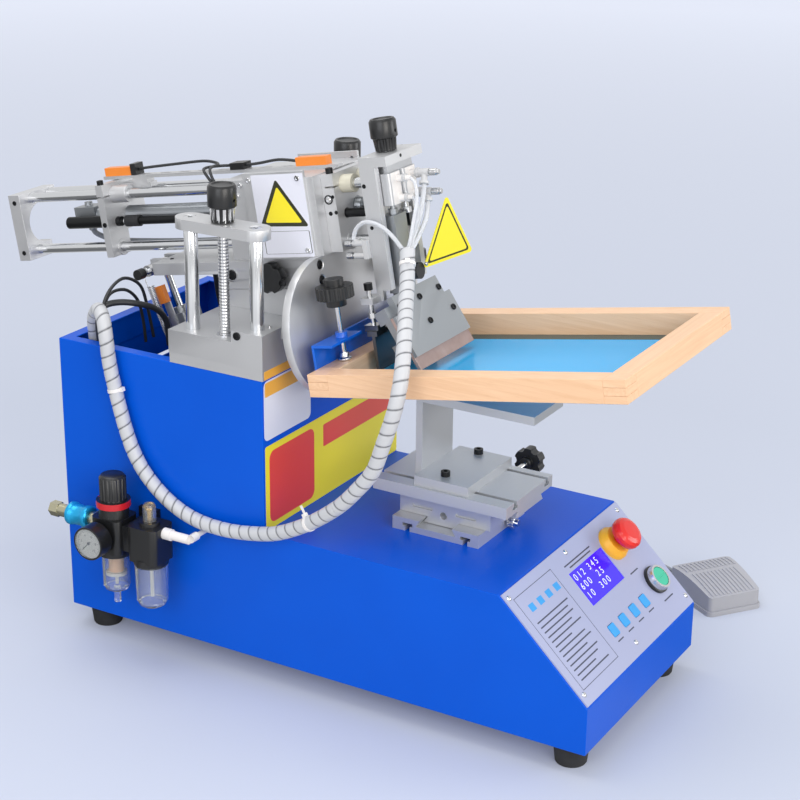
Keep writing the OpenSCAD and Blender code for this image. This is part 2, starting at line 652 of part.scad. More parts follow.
// Sensor rail on top of the housing, its rear bracket and the two position sensors
rail_end = rear_bearing_a + 22;
rail_t = 4;
rail_top = housing_top + rail_t;
sensor_w = 12;
sensor_h = 10;
module sensor_rail() {
    color("silver") tilted() {
        difference() {
            span([-7, housing_front - 2, housing_top], [7, rail_end, rail_top]);
            for (y = [10:30:rail_end - 11]) translate([0, y, housing_top - 1]) linear_extrude(rail_t + 2)
                rotate([0, 0, 90]) stadium(18, 4);
        }
        span([-7, rear_bearing_a - 45.5, housing_top - 5.5], [7, rear_bearing_a - 23.5, housing_top]);
        span([-7, rear_bearing_a - 49, housing_top - 11.5], [7, rear_bearing_a, housing_top - 5.5]);
    }
    color("darkorange") tilted() for (y = [rail_end - 45, housing_front + 12])
        span([-sensor_w / 2, y, rail_top], [sensor_w / 2, y + 42, rail_top + sensor_h]);
    color("#303030") tilted() {
        span([-8, rail_end - 53, rail_top], [8, rail_end - 45, rail_top + 14]);
        span([-8, housing_rear + 1, rail_top], [8, housing_rear + 21, rail_top + 8]);
    }
}

// Shock absorber in the rear bearing plate, and its spring-loaded plunger
shock_d = 12;
shock_travel = 5;
shock_head = 3;
bumper_a = rear_bearing_a - 14;
shock_nose = bumper_a + shock_head + shock_travel;
module shock_absorber() color("#303030") tilted() translate([stop_x, 0, stop_b]) along_y() difference() {
    union() {
        translate([0, 0, shock_nose]) cylinder(d = shock_d, h = 84);
        translate([0, 0, rear_bearing_a + bearing_t[1]]) cylinder(d = shock_d + 5, h = 5, $fn = 6);
        translate([0, 0, rear_bearing_a + 22]) cylinder(d = shock_d + 3, h = 56);
    }
    translate([0, 0, shock_nose - 1]) cylinder(d = 4 + 2 * run, h = 42);
}
module shock_plunger() color("lightgray") tilted() translate([stop_x, bumper_a, stop_b]) along_y() {
    cylinder(d = 4, h = 40);
    cylinder(d = 8, h = shock_head);
}

// Faceplate: round-ended plate on the beam's nose, with four countersunk holes
module faceplate() color("silver") tilted()
    translate([0, beam_front, face_top - faceplate_h / 2]) rotate([90, 0, 0]) difference() {
        linear_extrude(faceplate_t) stadium(faceplate_w, faceplate_h);
        for (s = [-1, 1], z = [34, 16.5]) translate([s * 60, z - face_top + faceplate_h / 2, -1]) {
            cylinder(d = 6, h = faceplate_t + 2);
            translate([0, 0, faceplate_t - 3]) cylinder(d1 = 6, d2 = 14, h = 4.1);
        }
    }

// Blue folded holder for the screen: web, lower flange, top tabs and stand-offs
holder_w = 242;
tab_in = 57;
screw_d = 6;
module frame_holder() color("blue") tilted() {
    difference() {
        union() {
            span([-holder_w / 2, frame_rear, frame_bottom - web_t], [holder_w / 2, frame_rear + web_t, tab_top]);
            span([-holder_w / 2, frame_rear - 17, frame_bottom - web_t],
                [holder_w / 2, frame_rear + 1, frame_bottom - mesh_t]);
            both_sides() span([tab_in, frame_rear - 24, tab_top - web_t],
                [holder_w / 2, frame_rear + web_t, tab_top]);
            both_sides() translate([clamp_x, clamp_a, tab_top]) cylinder(d = 14, h = 6);
        }
        both_sides() translate([clamp_x, clamp_a, tab_top - 10]) cylinder(d = screw_d + 2 * run, h = 30);
    }
    both_sides() span([48, frame_rear + web_t, -85], [76, face_front, -57]);
}

// Clamp screws: ribbed hand wheel on a screw that turns in a swivel pad
wheel_d = 43;
module clamp_wheel(s) color("#202020") tilted() translate([s * clamp_x, clamp_a, 0]) {
    difference() {
        union() {
            translate([0, 0, 1]) cylinder(d = wheel_d, h = 14);
            translate([0, 0, -8]) cylinder(d = 23, h = 31);
        }
        for (i = [0:23]) rotate(i * 15) translate([wheel_d / 2 + 1, 0, 0]) cylinder(d = 4, h = 20);
    }
    color("silver") translate([0, 0, frame_top + 5]) cylinder(d = screw_d, h = -frame_top - 10);
}
module clamp_pad(s) color("goldenrod") tilted() translate([s * clamp_x, clamp_a, frame_top + slip])
    difference() {
        rotate_extrude() polygon([[0, 0], [8, 0], [8, 2.5], [5.5, 4], [5.5, 9], [0, 9]]);
        translate([0, 0, 4]) cylinder(d = screw_d + 2 * run, h = 10);
    }

// Screen: four wooden rails with comb joints, and the stretched mesh under them
comb = rail_h / 3;
module side_rail(s) difference() {
    translate([s * (screen_w / 2 - rail_w / 2), 0, 0])
        span([-rail_w / 2, frame_rear - screen_len, frame_bottom], [rail_w / 2, frame_rear, frame_top]);
    for (y = [frame_rear - screen_len, frame_rear - rail_w])
        translate([s * (screen_w / 2 - rail_w / 2), y + rail_w / 2, frame_bottom + 1.5 * comb])
            cube([rail_w + 1, rail_w + 0.02, comb], center = true);
}
module cross_rail(y) {
    span([rail_w - screen_w / 2, y, frame_bottom], [screen_w / 2 - rail_w, y + rail_w, frame_top]);
    span([-screen_w / 2, y, frame_bottom + comb], [screen_w / 2, y + rail_w, frame_bottom + 2 * comb]);
}
module screen_frame() color("burlywood") tilted() {
    side_rail(-1);
    side_rail(1);
    cross_rail(frame_rear - screen_len);
    cross_rail(frame_rear - rail_w);
}
module screen_mesh() color("deepskyblue") tilted()
    span([2 - screen_w / 2, frame_rear - screen_len + 2, frame_bottom - mesh_t],
        [screen_w / 2 - 2, frame_rear - 2, frame_bottom]);

// Carriage rods: three guide rods, the stop rod with its bumper, and the piston rod
module carriage_rods() tilted() {
    color("lightgray") for (p = rod_pos) translate([p[0], head_rear, p[1]]) along_y()
        cylinder(d = rod_d, h = rod_len);
    color("dimgray") translate([stop_x, head_rear, stop_b]) along_y() {
        cylinder(d = stop_rod_d, h = bumper_a - 20 - head_rear);
        translate([0, 0, bumper_a - 21 - head_rear]) cylinder(d = stop_rod_d + 4, h = 20.7);
    }
    color("lightgray") translate([cyl_x, head_rear, cyl_b]) along_y() {
        cylinder(d = 8, h = cap_a - 16 - head_rear);
        cylinder(d = 13, h = 6, $fn = 6);
        translate([0, 0, cap_a - 28 - head_rear]) cylinder(d = piston_d - 2 * run, h = 12);
    }
}

// Rear end plate: joins the rods, with a round bite that clears the cylinder's cap
end_low = low_rod_b - 10.5;
bite_r = 25;
module rear_end_plate() color("gainsboro") tilted() translate([0, rear_plate_a + rear_plate_t, 0])
    rotate([90, 0, 0]) linear_extrude(rear_plate_t) difference() {
        union() {
            translate([-beam_w / 2, end_low]) square([beam_w / 2 + 5, rod_b + 8 - end_low]);
            translate([-beam_w / 2, rod_b - 11]) square([beam_w / 2 + 28, 19]);
        }
        translate([cyl_x - 9, cyl_b - 3]) circle(bite_r);
        translate([cyl_x - 9, cyl_b - 3 - bite_r]) square([50, 2 * bite_r]);
    }

// Head plate: channel that carries the two head cylinders, with a cap and a stop lug
head_w = 80;
cheek_w = 9;
head_bottom = -2;
head_top = 138;
channel_a = head_rear - head_back_t;
flood_x = 18;
stop_screw_x = -50;
stop_screw_a = -80;
module head_plate() color("silver") tilted() {
    difference() {
        union() {
            span([-head_w / 2, head_rear - head_t, head_bottom], [head_w / 2, head_rear, head_top]);
            span([-head_w / 2, head_rear - head_t - 16, head_top], [head_w / 2, head_rear, head_top + 11]);
            span([-head_w / 2 - 18, head_rear - 4, -14], [-head_w / 2 + 6, head_rear + 12, -7]);
            span([-head_w / 2, head_rear - head_t + 12, -14], [-head_w / 2 + 6, head_rear, 10]);
        }
        span([cheek_w - head_w / 2, head_rear - head_t - 1, head_bottom - 1],
            [head_w / 2 - cheek_w, channel_a, head_top]);
        span([flood_x - 8, channel_a - 1, 30], [flood_x + 8, head_rear + 1, 78]);
        translate([stop_screw_x, stop_screw_a, -20]) cylinder(d = 7, h = 20);
        translate([0, head_rear - 14, head_top - 1]) cylinder(d = 8 + 2 * run, h = 14);
        for (s = [-1, 1]) translate([s * (head_w / 2 - 3.5), head_rear - 12, head_top - 20])
            cylinder(d = 4, h = 40);
    }
}

// Head cylinders: the squeegee's on the left and the flood bar's on the right
squeegee_x = -13;
head_cyl_b = [92, 128];
channel_w = head_w - 2 * cheek_w;
module head_cylinder(x, w, shift = 0) difference() {
    translate([x + shift, channel_a - 12, head_cyl_b[0]]) linear_extrude(head_cyl_b[1] - head_cyl_b[0])
        round_rect(w, 24 - 2 * slip, 6);
    translate([x, channel_a - 12, head_cyl_b[0] - 1]) cylinder(d = 6 + 2 * run, h = 24);
}
module head_cylinders() {
    color("whitesmoke") tilted() {
        head_cylinder(squeegee_x, 28, -3);
        head_cylinder(flood_x - 2, 30);
        translate([1, channel_a - 10, head_cyl_b[1]]) linear_extrude(head_top - head_cyl_b[1])
            square([channel_w - 8, 20], center = true);
    }
    color("gainsboro") tilted() for (z = [98, 120], x = [squeegee_x, flood_x - 2])
        translate([x, channel_a - 24 + 2 * slip, z]) rotate([90, 0, 0]) {
            cylinder(d = 8, h = 9);
            translate([0, 0, 8]) cylinder(d = 5.5, h = 9);
        }
}

module head_knob() tilted() translate([0, head_rear - 14, head_top]) {
    color("#303030") translate([0, 0, 11 + gap]) fluted_knob(knob_d - 2, knob_h - 6);
    color("silver") cylinder(d = 8, h = 14);
}

// Squeegee: slide block in the channel, leaning bracket and clamp, seen square to the blade
slide_t = 18;
slide_top = 80;
lean_at = [-113, 2];
blade_root = -28;
blade_edge = -94;
module leaning() tilted() translate([0, lean_at[0], lean_at[1]]) rotate([-squeegee_lean, 0, 0]) children();
module squeegee_holder() {
    color("silver") difference() {
        union() {
            tilted() {
                span([squeegee_x - 13, channel_a - 2 - slide_t, -9], [squeegee_x + 13, channel_a - slip, slide_top]);
                translate([squeegee_x, channel_a - 12, slide_top - 1]) cylinder(d = 6, h = 35);
                translate([squeegee_x, channel_a - 12, slide_top]) cylinder(d = 11, h = 6, $fn = 6);
            }
            leaning() {
                span([-50, 8, -28], [50, 16, -6]);
                span([-squeegee_w / 2, 16, -68], [squeegee_w / 2, 32, -14]);
                span([-squeegee_w / 2, 8, -79], [squeegee_w / 2, 12, blade_root]);
            }
        }
        leaning() {
            span([-squeegee_w / 2 - 1, 24, -56], [squeegee_w / 2 + 1, 33, -30]);
            for (x = [-44, 0, 44]) translate([x, 7, -20]) along_y() linear_extrude(6) stadium(5, 9);
        }
    }
    // Black lock knob on the front of the bracket's slide
    color("#202020") tilted() translate([squeegee_x + 8, channel_a - 2 - slide_t, 12]) rotate([90, 0, 0]) {
        cylinder(d = 12, h = 5);
        translate([0, 0, 4]) cylinder(d = 19, h = 8);
    }
}

module squeegee_blade() color("rosybrown") leaning()
    span([-squeegee_w / 2, 12, blade_edge], [squeegee_w / 2, 16, blade_root]);

// Flood bar: rear slide, cross bar, thin blade and the stop screw at its left end
module flood_bar() {
    color("gray") tilted() {
        span([flood_x - 8, channel_a - 18, 61], [flood_x + 8, channel_a - 2, 76]);
        span([flood_x - 7, channel_a - 3, 62], [flood_x + 7, head_rear + slip + 1, 74]);
        span([flood_x - 14, head_rear + slip, -44], [flood_x + 14, head_rear + 7, 74]);
        span([-squeegee_w / 2, head_rear - 6, -50], [squeegee_w / 2, head_rear + 7, -44]);
        span([-squeegee_w / 2, head_rear - 3, -90], [squeegee_w / 2, head_rear + 1, -49]);
        span([stop_screw_x - 8, head_rear - 6, -45], [stop_screw_x + 8, head_rear + 12, -38]);
    }
    color("lightgray") tilted() {
        translate([flood_x - 2, channel_a - 12, 75]) cylinder(d = 6, h = 38);
        translate([flood_x - 2, channel_a - 12, 76]) cylinder(d = 11, h = 6, $fn = 6);
        translate([stop_screw_x, stop_screw_a, -39]) cylinder(d = 6, h = 46);
        translate([stop_screw_x, stop_screw_a, 1.5]) cylinder(d = 10, h = 8);
        translate([stop_screw_x, stop_screw_a, -31]) cylinder(d = 10, h = 6, $fn = 6);
    }
}

// Tilt cylinder: swings on the hanger and pushes the beam's rear arm through its rod
cyl_foot = [183.5, 0];
hanger_z = lift_top - 126.5;
cyl_pin_d = 8;
arm_pin = [pivot_y + (arm_pin_a - pivot_a) * cos(head_tilt) + (arm_pin_b - pivot_b) * sin(head_tilt),
    pivot_z - (arm_pin_a - pivot_a) * sin(head_tilt) + (arm_pin_b - pivot_b) * cos(head_tilt)];
cyl_vec = arm_pin - [cyl_foot[0], hanger_z];
cyl_a = atan2(cyl_vec[1], cyl_vec[0]);
cyl_len = norm(cyl_vec);
barrel_len = 98;
barrel_w = 36;
module on_cylinder() placed() translate([0, cyl_foot[0], hanger_z]) rotate([cyl_a - 90, 0, 0]) children();
module tilt_cylinder() {
    color("darkgray") on_cylinder() difference() {
        union() {
            rotate([0, 90, 0]) translate([0, 0, -8]) cylinder(d = 20, h = 16);
            translate([0, 0, 8]) cylinder(d = 16, h = 16);
            translate([0, 0, 22]) linear_extrude(barrel_len - 22) round_rect(barrel_w, barrel_w, 4);
            translate([0, 0, barrel_len]) cylinder(d = 18, h = 8);
        }
        rotate([0, 90, 0]) translate([0, 0, -20]) cylinder(d = cyl_pin_d + 2 * run, h = 40);
        translate([0, 0, 24]) cylinder(d = 20, h = barrel_len - 40);
        translate([0, 0, 24]) cylinder(d = 10 + 2 * run, h = barrel_len);
    }
    // Sheet bracket on the barrel's left face with the sensor that reads the beam's arm
    color("silver") on_cylinder() span([-barrel_w / 2 - 2, -5, barrel_len - 14], [-barrel_w / 2, 5, barrel_len + 24]);
    color("darkorange") on_cylinder()
        span([-barrel_w / 2 - 10, -7, barrel_len + 18], [-barrel_w / 2 - 2, 5, barrel_len + 40]);
}
module tilt_rod() color("lightgray") on_cylinder() {
    difference() {
        union() {
            translate([0, 0, 36]) cylinder(d = 10, h = cyl_len - 42);
            translate([0, 0, 30]) cylinder(d = 20 - 2 * run, h = 8);
            translate([0, 0, cyl_len]) rotate([0, 90, 0]) translate([0, 0, -7]) cylinder(d = 18, h = 14);
        }
        translate([0, 0, cyl_len]) rotate([0, 90, 0]) translate([0, 0, -20]) cylinder(d = cyl_pin_d + 1, h = 40);
    }
}

// Stage base: fixed block with a dovetail channel on top and two slots for its hold-down
// screws in its underside, all of them running left to right
dove_w = 60;
base_dove_w = 42;
dove_h = 8;
base_slot_y = [stage_y + 37, stage_y - 39];
module dovetail(w, h, grow) polygon([[-w / 2 - grow, -0.01], [w / 2 + grow, -0.01],
    [w / 2 + 5 + grow, h + grow], [-w / 2 - 5 - grow, h + grow]]);
module stage_base() color("lightgray") placed() difference() {
    span([-stage_w / 2, stage_y - 56, deck_h], [stage_w / 2, stage_y + 57, stage_base_top]);
    translate([-100, stage_y, stage_base_top]) along_x(200) scale([1, -1, 1])
        dovetail(base_dove_w, dove_h, 0.1);
    for (y = base_slot_y) translate([-100, y, deck_h]) along_x(200) {
        translate([-3, -1]) square([6, 8]);
        translate([-6.5, 6]) square([13, 4]);
    }
    translate([14, stage_y - 57, deck_h + 8]) along_y() cylinder(d = 5 + 2 * run, h = 30);
}

// Cross block: narrower than the table, dovetail key below, channel for the table above,
// and two long slots and a round port in its left face
slide_w = 82;
module stage_slide() color("lightgray") placed() difference() {
    union() {
        span([-slide_w / 2, stage_y - 62, stage_base_top + 0.2], [slide_w / 2, stage_y + 57, cross_top]);
        translate([-slide_w / 2, stage_y, stage_base_top + 0.21]) along_x(slide_w)
            scale([1, -1, 1]) dovetail(base_dove_w - 1, dove_h, -0.3);
    }
    translate([0, stage_y - 100, cross_top]) rotate([-90, 0, 0]) linear_extrude(200)
        dovetail(dove_w, dove_h, 0.1);
    for (y = [stage_y + 27, stage_y - 30]) translate([-slide_w / 2 - 1, y, stage_base_top + 10.5])
        along_x(4) stadium(27, 4);
    translate([-slide_w / 2 - 1, stage_y - 1, stage_base_top + 5.5]) rotate([0, 90, 0])
        cylinder(d = 9, h = 12);
}

// Slotted table: dovetail key below, two undercut slots along its top
slot_x = [-36, 44];
module stage_table() color("lightgray") placed() difference() {
    union() {
        span([-stage_w / 2, stage_y - 90.5, cross_top + 0.5], [stage_w / 2, stage_y - 90.5 + table_len, table_top]);
        translate([0, stage_y - 90.5, cross_top + 0.51]) rotate([-90, 0, 0]) linear_extrude(table_len)
            dovetail(dove_w - 1, dove_h, -0.3);
    }
    for (x = slot_x) translate([x, stage_y + 100, table_top]) rotate([90, 0, 0]) linear_extrude(200) {
        translate([-3, -8]) square([6, 9]);
        translate([-6, -9]) square([12, 4]);
    }
    translate([stage_w / 2 - 20, stage_y - 41, cross_top + 7]) rotate([0, 90, 0])
        cylinder(d = 6 + 2 * run, h = 21);
}

// Platen: flat work plate on an angle bracket that is bolted to the slotted table
upright_t = 8.5;
foot_t = 12;
module platen() {
    color("lightgray") placed() difference() {
        union() {
            span([-54, stage_y - 39, table_top], [54, platen_rear - upright_t, table_top + foot_t]);
            span([-platen_w / 2, platen_rear - upright_t, table_top],
                [platen_w / 2, platen_rear, platen_top - platen_t]);
        }
        for (x = slot_x) translate([x, stage_y, table_top - 1]) cylinder(d = 6.6, h = foot_t + 2);
    }
    color("darkgray") placed() for (x = slot_x) translate([x, stage_y, table_top + foot_t]) difference() {
        cylinder(d = 11, h = 6);
        translate([0, 0, 3]) cylinder(d = 5.8, h = 4, $fn = 6);
    }
    color("silver") placed() span([-platen_w / 2, platen_rear - platen_len, platen_top - platen_t],
        [platen_w / 2, platen_rear, platen_top]);
}

module stage_knob() color("#202020") placed() translate([stage_w / 2 + gap, stage_y - 41, cross_top + 7])
    rotate([0, 90, 0]) {
        translate([0, 0, 32]) star(35, 14, 6);
        translate([0, 0, 25]) cylinder(d = 15, h = 8);
        translate([0, 0, -20]) cylinder(d = 6, h = 50);
    }

module stage_thumb_screw() color("silver") placed() translate([14, stage_y - 57 - gap, deck_h + 8])
    rotate([90, 0, 0]) {
        difference() {
            cylinder(d = 13, h = 8);
            for (i = [0:15]) rotate(i * 22.5) translate([6.8, 0, -1]) cylinder(d = 1.6, h = 10, $fn = 16);
        }
        translate([0, 0, 7]) cylinder(d = 8, h = 6);
        translate([0, 0, -25]) cylinder(d = 5, h = 26);
    }

// Air service unit: regulator and lubricator bodies with the bracket between them
module frl_block(y) {
    translate([frl_x, y, frl_z]) rotate([0, 0, 90]) {
        translate([0, 0, -22]) linear_extrude(44) round_rect(42, 40, 8);
        translate([0, 0, -27]) cylinder(d = 42, h = 8);
    }
}
module frl_body() color("#303030") placed() difference() {
    union() {
        frl_block(frl_y);
        frl_block(oiler_y);
        translate([frl_x, oiler_y, frl_z]) along_y() cylinder(d = 22, h = frl_pitch);
        span([frl_x - 12, (frl_y + oiler_y) / 2 - 6, frl_z - 16], [-half_w, (frl_y + oiler_y) / 2 + 6, frl_z + 16]);
        span([-half_w - 6, (frl_y + oiler_y) / 2 - 14, frl_z - 24], [-half_w, (frl_y + oiler_y) / 2 + 14, frl_z + 24]);
        translate([frl_x, frl_y, frl_z + 20]) cylinder(d = 36, h = 14);
        translate([frl_x, oiler_y, frl_z + 20]) cylinder(d = 24, h = 6);
    }
    translate([frl_x, frl_y, frl_z + 24]) cylinder(d = 10 + 2 * run, h = 20);
    for (y = [frl_y, oiler_y]) translate([frl_x, y, frl_z - 28]) cylinder(d = bowl_d - 9, h = 8);
}

module frl_bowls() {
    color("gainsboro") placed() translate([frl_x, frl_y, frl_z - 76]) difference() {
        rotate_extrude() polygon([[0, 0], [9, 0], [14, 3], [16.5, 8], [17, 48], [0, 48]]);
        translate([0, 0, 6]) cylinder(d = 28, h = 50);
    }
    color("gainsboro") placed() translate([frl_x, frl_y, frl_z - 92]) cylinder(d = 8, h = 17);
    color("gainsboro") placed() translate([frl_x, oiler_y, frl_z - 83]) difference() {
        rotate_extrude() polygon([[0, 0], [12, 0], [bowl_d / 2 - 4, 3], [bowl_d / 2 - 1, 9],
            [bowl_d / 2, 54], [0, 54]]);
        translate([0, 0, 6]) cylinder(d = bowl_d - 6, h = 60);
    }
    color("gold") placed() translate([frl_x, oiler_y, frl_z + 26]) difference() {
        rotate_extrude() polygon([[0, 0], [8, 0], [8, 18], [6, 22], [0, 23]]);
        translate([0, 0, -1]) cylinder(d = 11, h = 18);
    }
}

module pressure_gauge() {
    color("#303030") placed() translate([frl_x - 21, frl_y + 4, frl_z]) rotate([0, -90, 0]) {
        cylinder(d = 12, h = 6, $fn = 6);
        translate([0, 0, 5]) difference() {
            cylinder(d = 41, h = 20);
            translate([0, 0, 17.5]) cylinder(d = 37, h = 4);
        }
    }
}

// Air fittings: threaded inlet pipe that the blue valve sleeve slides on, and outlet elbow
inlet_d = 16;
port_d = 11.5;
module air_fittings() {
    color("goldenrod") placed() translate([frl_x, frl_y + 20, frl_z + 9]) along_y() difference() {
        union() {
            translate([0, 0, 1]) cylinder(d = inlet_d, h = 73);
            translate([0, 0, 1]) cylinder(d = 22, h = 7, $fn = 6);
            translate([0, 0, 62]) cylinder(d = 19, h = 12, $fn = 6);
        }
        translate([0, 0, 10]) cylinder(d = 9, h = 70);
        translate([0, 0, 62]) cylinder(d = port_d, h = 13);
    }
    color("whitesmoke") placed() {
        translate([frl_x, oiler_y - 21, frl_z + 15]) rotate([90, 0, 0]) cylinder(d = 14, h = 11);
        translate([frl_x, oiler_y - 31, frl_z + 15]) rotate([90, 0, 0]) cylinder(d = 11, h = 26);
        translate([frl_x, oiler_y - 57, frl_z + 15]) sphere(d = 11);
        translate([frl_x, oiler_y - 57, frl_z + 15]) rotate([0, 90, 0]) cylinder(d = 10, h = 14);
        translate([frl_x, oiler_y - 57, frl_z + 15]) rotate([0, 90, 0]) cylinder(d = 6, h = frl_reach);
    }
}

module valve_sleeve() color("deepskyblue") placed() translate([frl_x, frl_y + 35, frl_z + 9]) along_y()
    difference() {
        rotate_extrude() polygon([[0, 0], [12, 0], [14, 2], [14, 7], [12.5, 9], [12.5, 23], [14, 25],
            [14, 30], [12, 32], [0, 32]]);
        translate([0, 0, -1]) cylinder(d = inlet_d + 2 * run, h = 40);
    }

module regulator_knob() placed() translate([frl_x, frl_y, frl_z + 34 + slip]) {
    color("firebrick") cylinder(d = bowl_d + 1, h = 8);
    color("#303030") difference() {
        translate([0, 0, 8]) rotate_extrude() polygon([[0, 0], [16, 0], [16, 28], [13.5, 31], [0, 31]]);
        for (i = [0:17]) rotate(i * 20) translate([16.6, 0, 10]) cylinder(d = 3, h = 40);
    }
    color("silver") translate([0, 0, -9]) cylinder(d = 10, h = 10);
}

// Foot switch: tray base and a ribbed treadle hinged at the heel
rim_h = 6.5;
tray_t = 2;
wall_t = 2;
function corner(c, r, a0) = [for (i = [0:6]) c + r * [cos(a0 + 15 * i), sin(a0 + 15 * i)]];
function pedal_plan(t, r) = let (m = (pedal_toe_w - pedal_heel_w) / 2, l = pedal_len - t, w0 = pedal_toe_w - t,
    w1 = pedal_toe_w - m - t) concat(
    corner([w0 - r, t + r], r, -90), corner([w1 - r, l - r], r, 0),
    corner([m + t + r, l - r], r, 90), corner([t + r, t + r], r, 180));
module pedal_place() placed() translate([pedal_at[0], pedal_at[1], -foot_h]) rotate([0, 0, pedal_turn]) children();
crown = [for (i = [0:12]) let (u = i / 12)
    [u * pedal_len, pedal_h - 10 + 10 * sin(min(u * 1.25, 1) * 90) - max(u - 0.8, 0) * 12]];
module pedal_solid(t, low, drop) intersection() {
    translate([0, 0, low]) linear_extrude(pedal_h) polygon(pedal_plan(t, max(8 - t, 1)));
    translate([-20, 0, 0]) along_x(200)
        polygon(concat([[0, low], [pedal_len, low]], [for (i = [12:-1:0]) crown[i] - [0, drop]]));
}
module pedal_base() {
    color("gainsboro") pedal_place() difference() {
        linear_extrude(rim_h) polygon(pedal_plan(0, 8));
        translate([0, 0, tray_t]) linear_extrude(rim_h) polygon(pedal_plan(wall_t, 6));
    }
    color("gainsboro") pedal_place() for (s = [0, 1]) difference() {
        translate([s ? pedal_toe_w - 15 : 11, pedal_len - 14, tray_t]) cube([4, 9, 13]);
        translate([-10, pedal_len - 9.5, tray_t + 9]) rotate([0, 90, 0]) cylinder(d = 4, h = 120);
    }
    // Hinge pin and the gland that the lead enters
    color("dimgray") pedal_place() {
        translate([11, pedal_len - 9.5, tray_t + 9]) rotate([0, 90, 0]) cylinder(d = 4, h = pedal_toe_w - 22);
        difference() {
            union() {
                translate([18, pedal_len - 9, tray_t]) cube([12, 10, 10]);
                translate([24, pedal_len, tray_t + 5]) along_y() cylinder(d = 9, h = 10);
            }
            translate([24, pedal_len - 10, tray_t + 5]) along_y() cylinder(d = cord_d + 1, h = 30);
        }
    }
}
module pedal_treadle() color("lightgray") pedal_place() difference() {
    union() {
        pedal_solid(wall_t + slip, rim_h - 1.5, 1);
        intersection() {
            pedal_solid(wall_t + slip + 3, rim_h + 8, 0);
            union() {
                for (i = [0:11]) translate([8 + i * 5.6, 5, 0]) cube([2.8, pedal_len * 0.55, 60]);
                for (i = [0:12]) translate([5 + i * 5.9, pedal_len * 0.68, 0]) cube([2.9, pedal_len * 0.24, 60]);
            }
        }
    }
    difference() {
        pedal_solid(2 * wall_t + slip, rim_h - 3, 3.5);
        for (s = [0, 1]) translate([s ? pedal_toe_w - 21 : 17, pedal_len - 14, 8]) cube([4, 9, 60]);
    }
    translate([-10, pedal_len - 9.5, tray_t + 9]) rotate([0, 90, 0]) cylinder(d = 4 + 2 * run, h = 120);
    translate([17, pedal_len - 10, 0]) cube([14, 20, tray_t + 12]);
}

module spiral_hose() color("lightgray") placed() swept(smooth(hose_pts, 3), hose_d, tube_fn);
module pedal_cord() color("gray") placed() swept(smooth(cord_pts, 5), cord_d, 8);

cabinet();
rear_panel();
rubber_feet();
control_panel();
base_plate();
guide_pillars();
bridge_plates();
stage_base();
frl_body();
frl_bowls();
pressure_gauge();
air_fittings();
regulator_knob();
valve_sleeve();
height_knob(-1);  // left_height_knob
height_knob(1);  // right_height_knob
lift_plate();
pedestal();
tilt_beam();
rod_housing();
bearing_plates();
guide_bushes();
print_cylinder();
sensor_rail();
shock_absorber();
shock_plunger();
faceplate();
frame_holder();
screen_frame();
screen_mesh();
beam_knob();
clamp_wheel(-1);  // left_clamp_wheel
clamp_wheel(1);  // right_clamp_wheel
clamp_pad(-1);  // left_clamp_pad
clamp_pad(1);  // right_clamp_pad
carriage_rods();
rear_end_plate();
head_plate();
head_cylinders();
head_knob();
squeegee_holder();
squeegee_blade();
flood_bar();
tilt_cylinder();
tilt_rod();
stage_slide();
stage_table();
platen();
stage_knob();
stage_thumb_screw();
estop_button();
start_button();
panel_key(0);  // key_1
panel_key(1);  // key_2
panel_key(2);  // key_3
panel_key(3);  // key_4
pedal_base();
pedal_treadle();
spiral_hose();
pedal_cord();
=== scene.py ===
import json
from math import atan2, ceil, cos, hypot, pi, radians, sin, tan

import bmesh
import bpy
from mathutils import Matrix, Vector

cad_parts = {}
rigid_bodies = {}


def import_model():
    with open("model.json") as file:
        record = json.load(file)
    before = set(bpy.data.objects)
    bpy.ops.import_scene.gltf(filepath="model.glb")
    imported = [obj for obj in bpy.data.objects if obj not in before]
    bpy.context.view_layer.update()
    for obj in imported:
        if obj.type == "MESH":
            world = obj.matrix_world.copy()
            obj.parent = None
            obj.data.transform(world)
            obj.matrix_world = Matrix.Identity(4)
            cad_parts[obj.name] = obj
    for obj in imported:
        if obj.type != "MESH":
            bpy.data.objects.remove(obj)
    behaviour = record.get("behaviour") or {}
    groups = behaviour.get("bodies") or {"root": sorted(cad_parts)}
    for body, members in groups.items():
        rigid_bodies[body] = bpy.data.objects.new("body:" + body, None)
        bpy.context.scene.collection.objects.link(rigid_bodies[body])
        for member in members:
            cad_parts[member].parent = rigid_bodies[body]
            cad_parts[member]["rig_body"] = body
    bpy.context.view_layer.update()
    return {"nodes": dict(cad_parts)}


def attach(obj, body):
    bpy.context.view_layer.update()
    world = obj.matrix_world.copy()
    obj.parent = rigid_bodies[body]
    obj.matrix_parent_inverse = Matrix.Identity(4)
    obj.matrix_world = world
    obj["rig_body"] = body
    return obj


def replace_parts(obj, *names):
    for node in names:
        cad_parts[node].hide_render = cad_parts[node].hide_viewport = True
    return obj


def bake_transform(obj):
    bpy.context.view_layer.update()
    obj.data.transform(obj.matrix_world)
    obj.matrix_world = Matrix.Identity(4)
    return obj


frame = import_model()

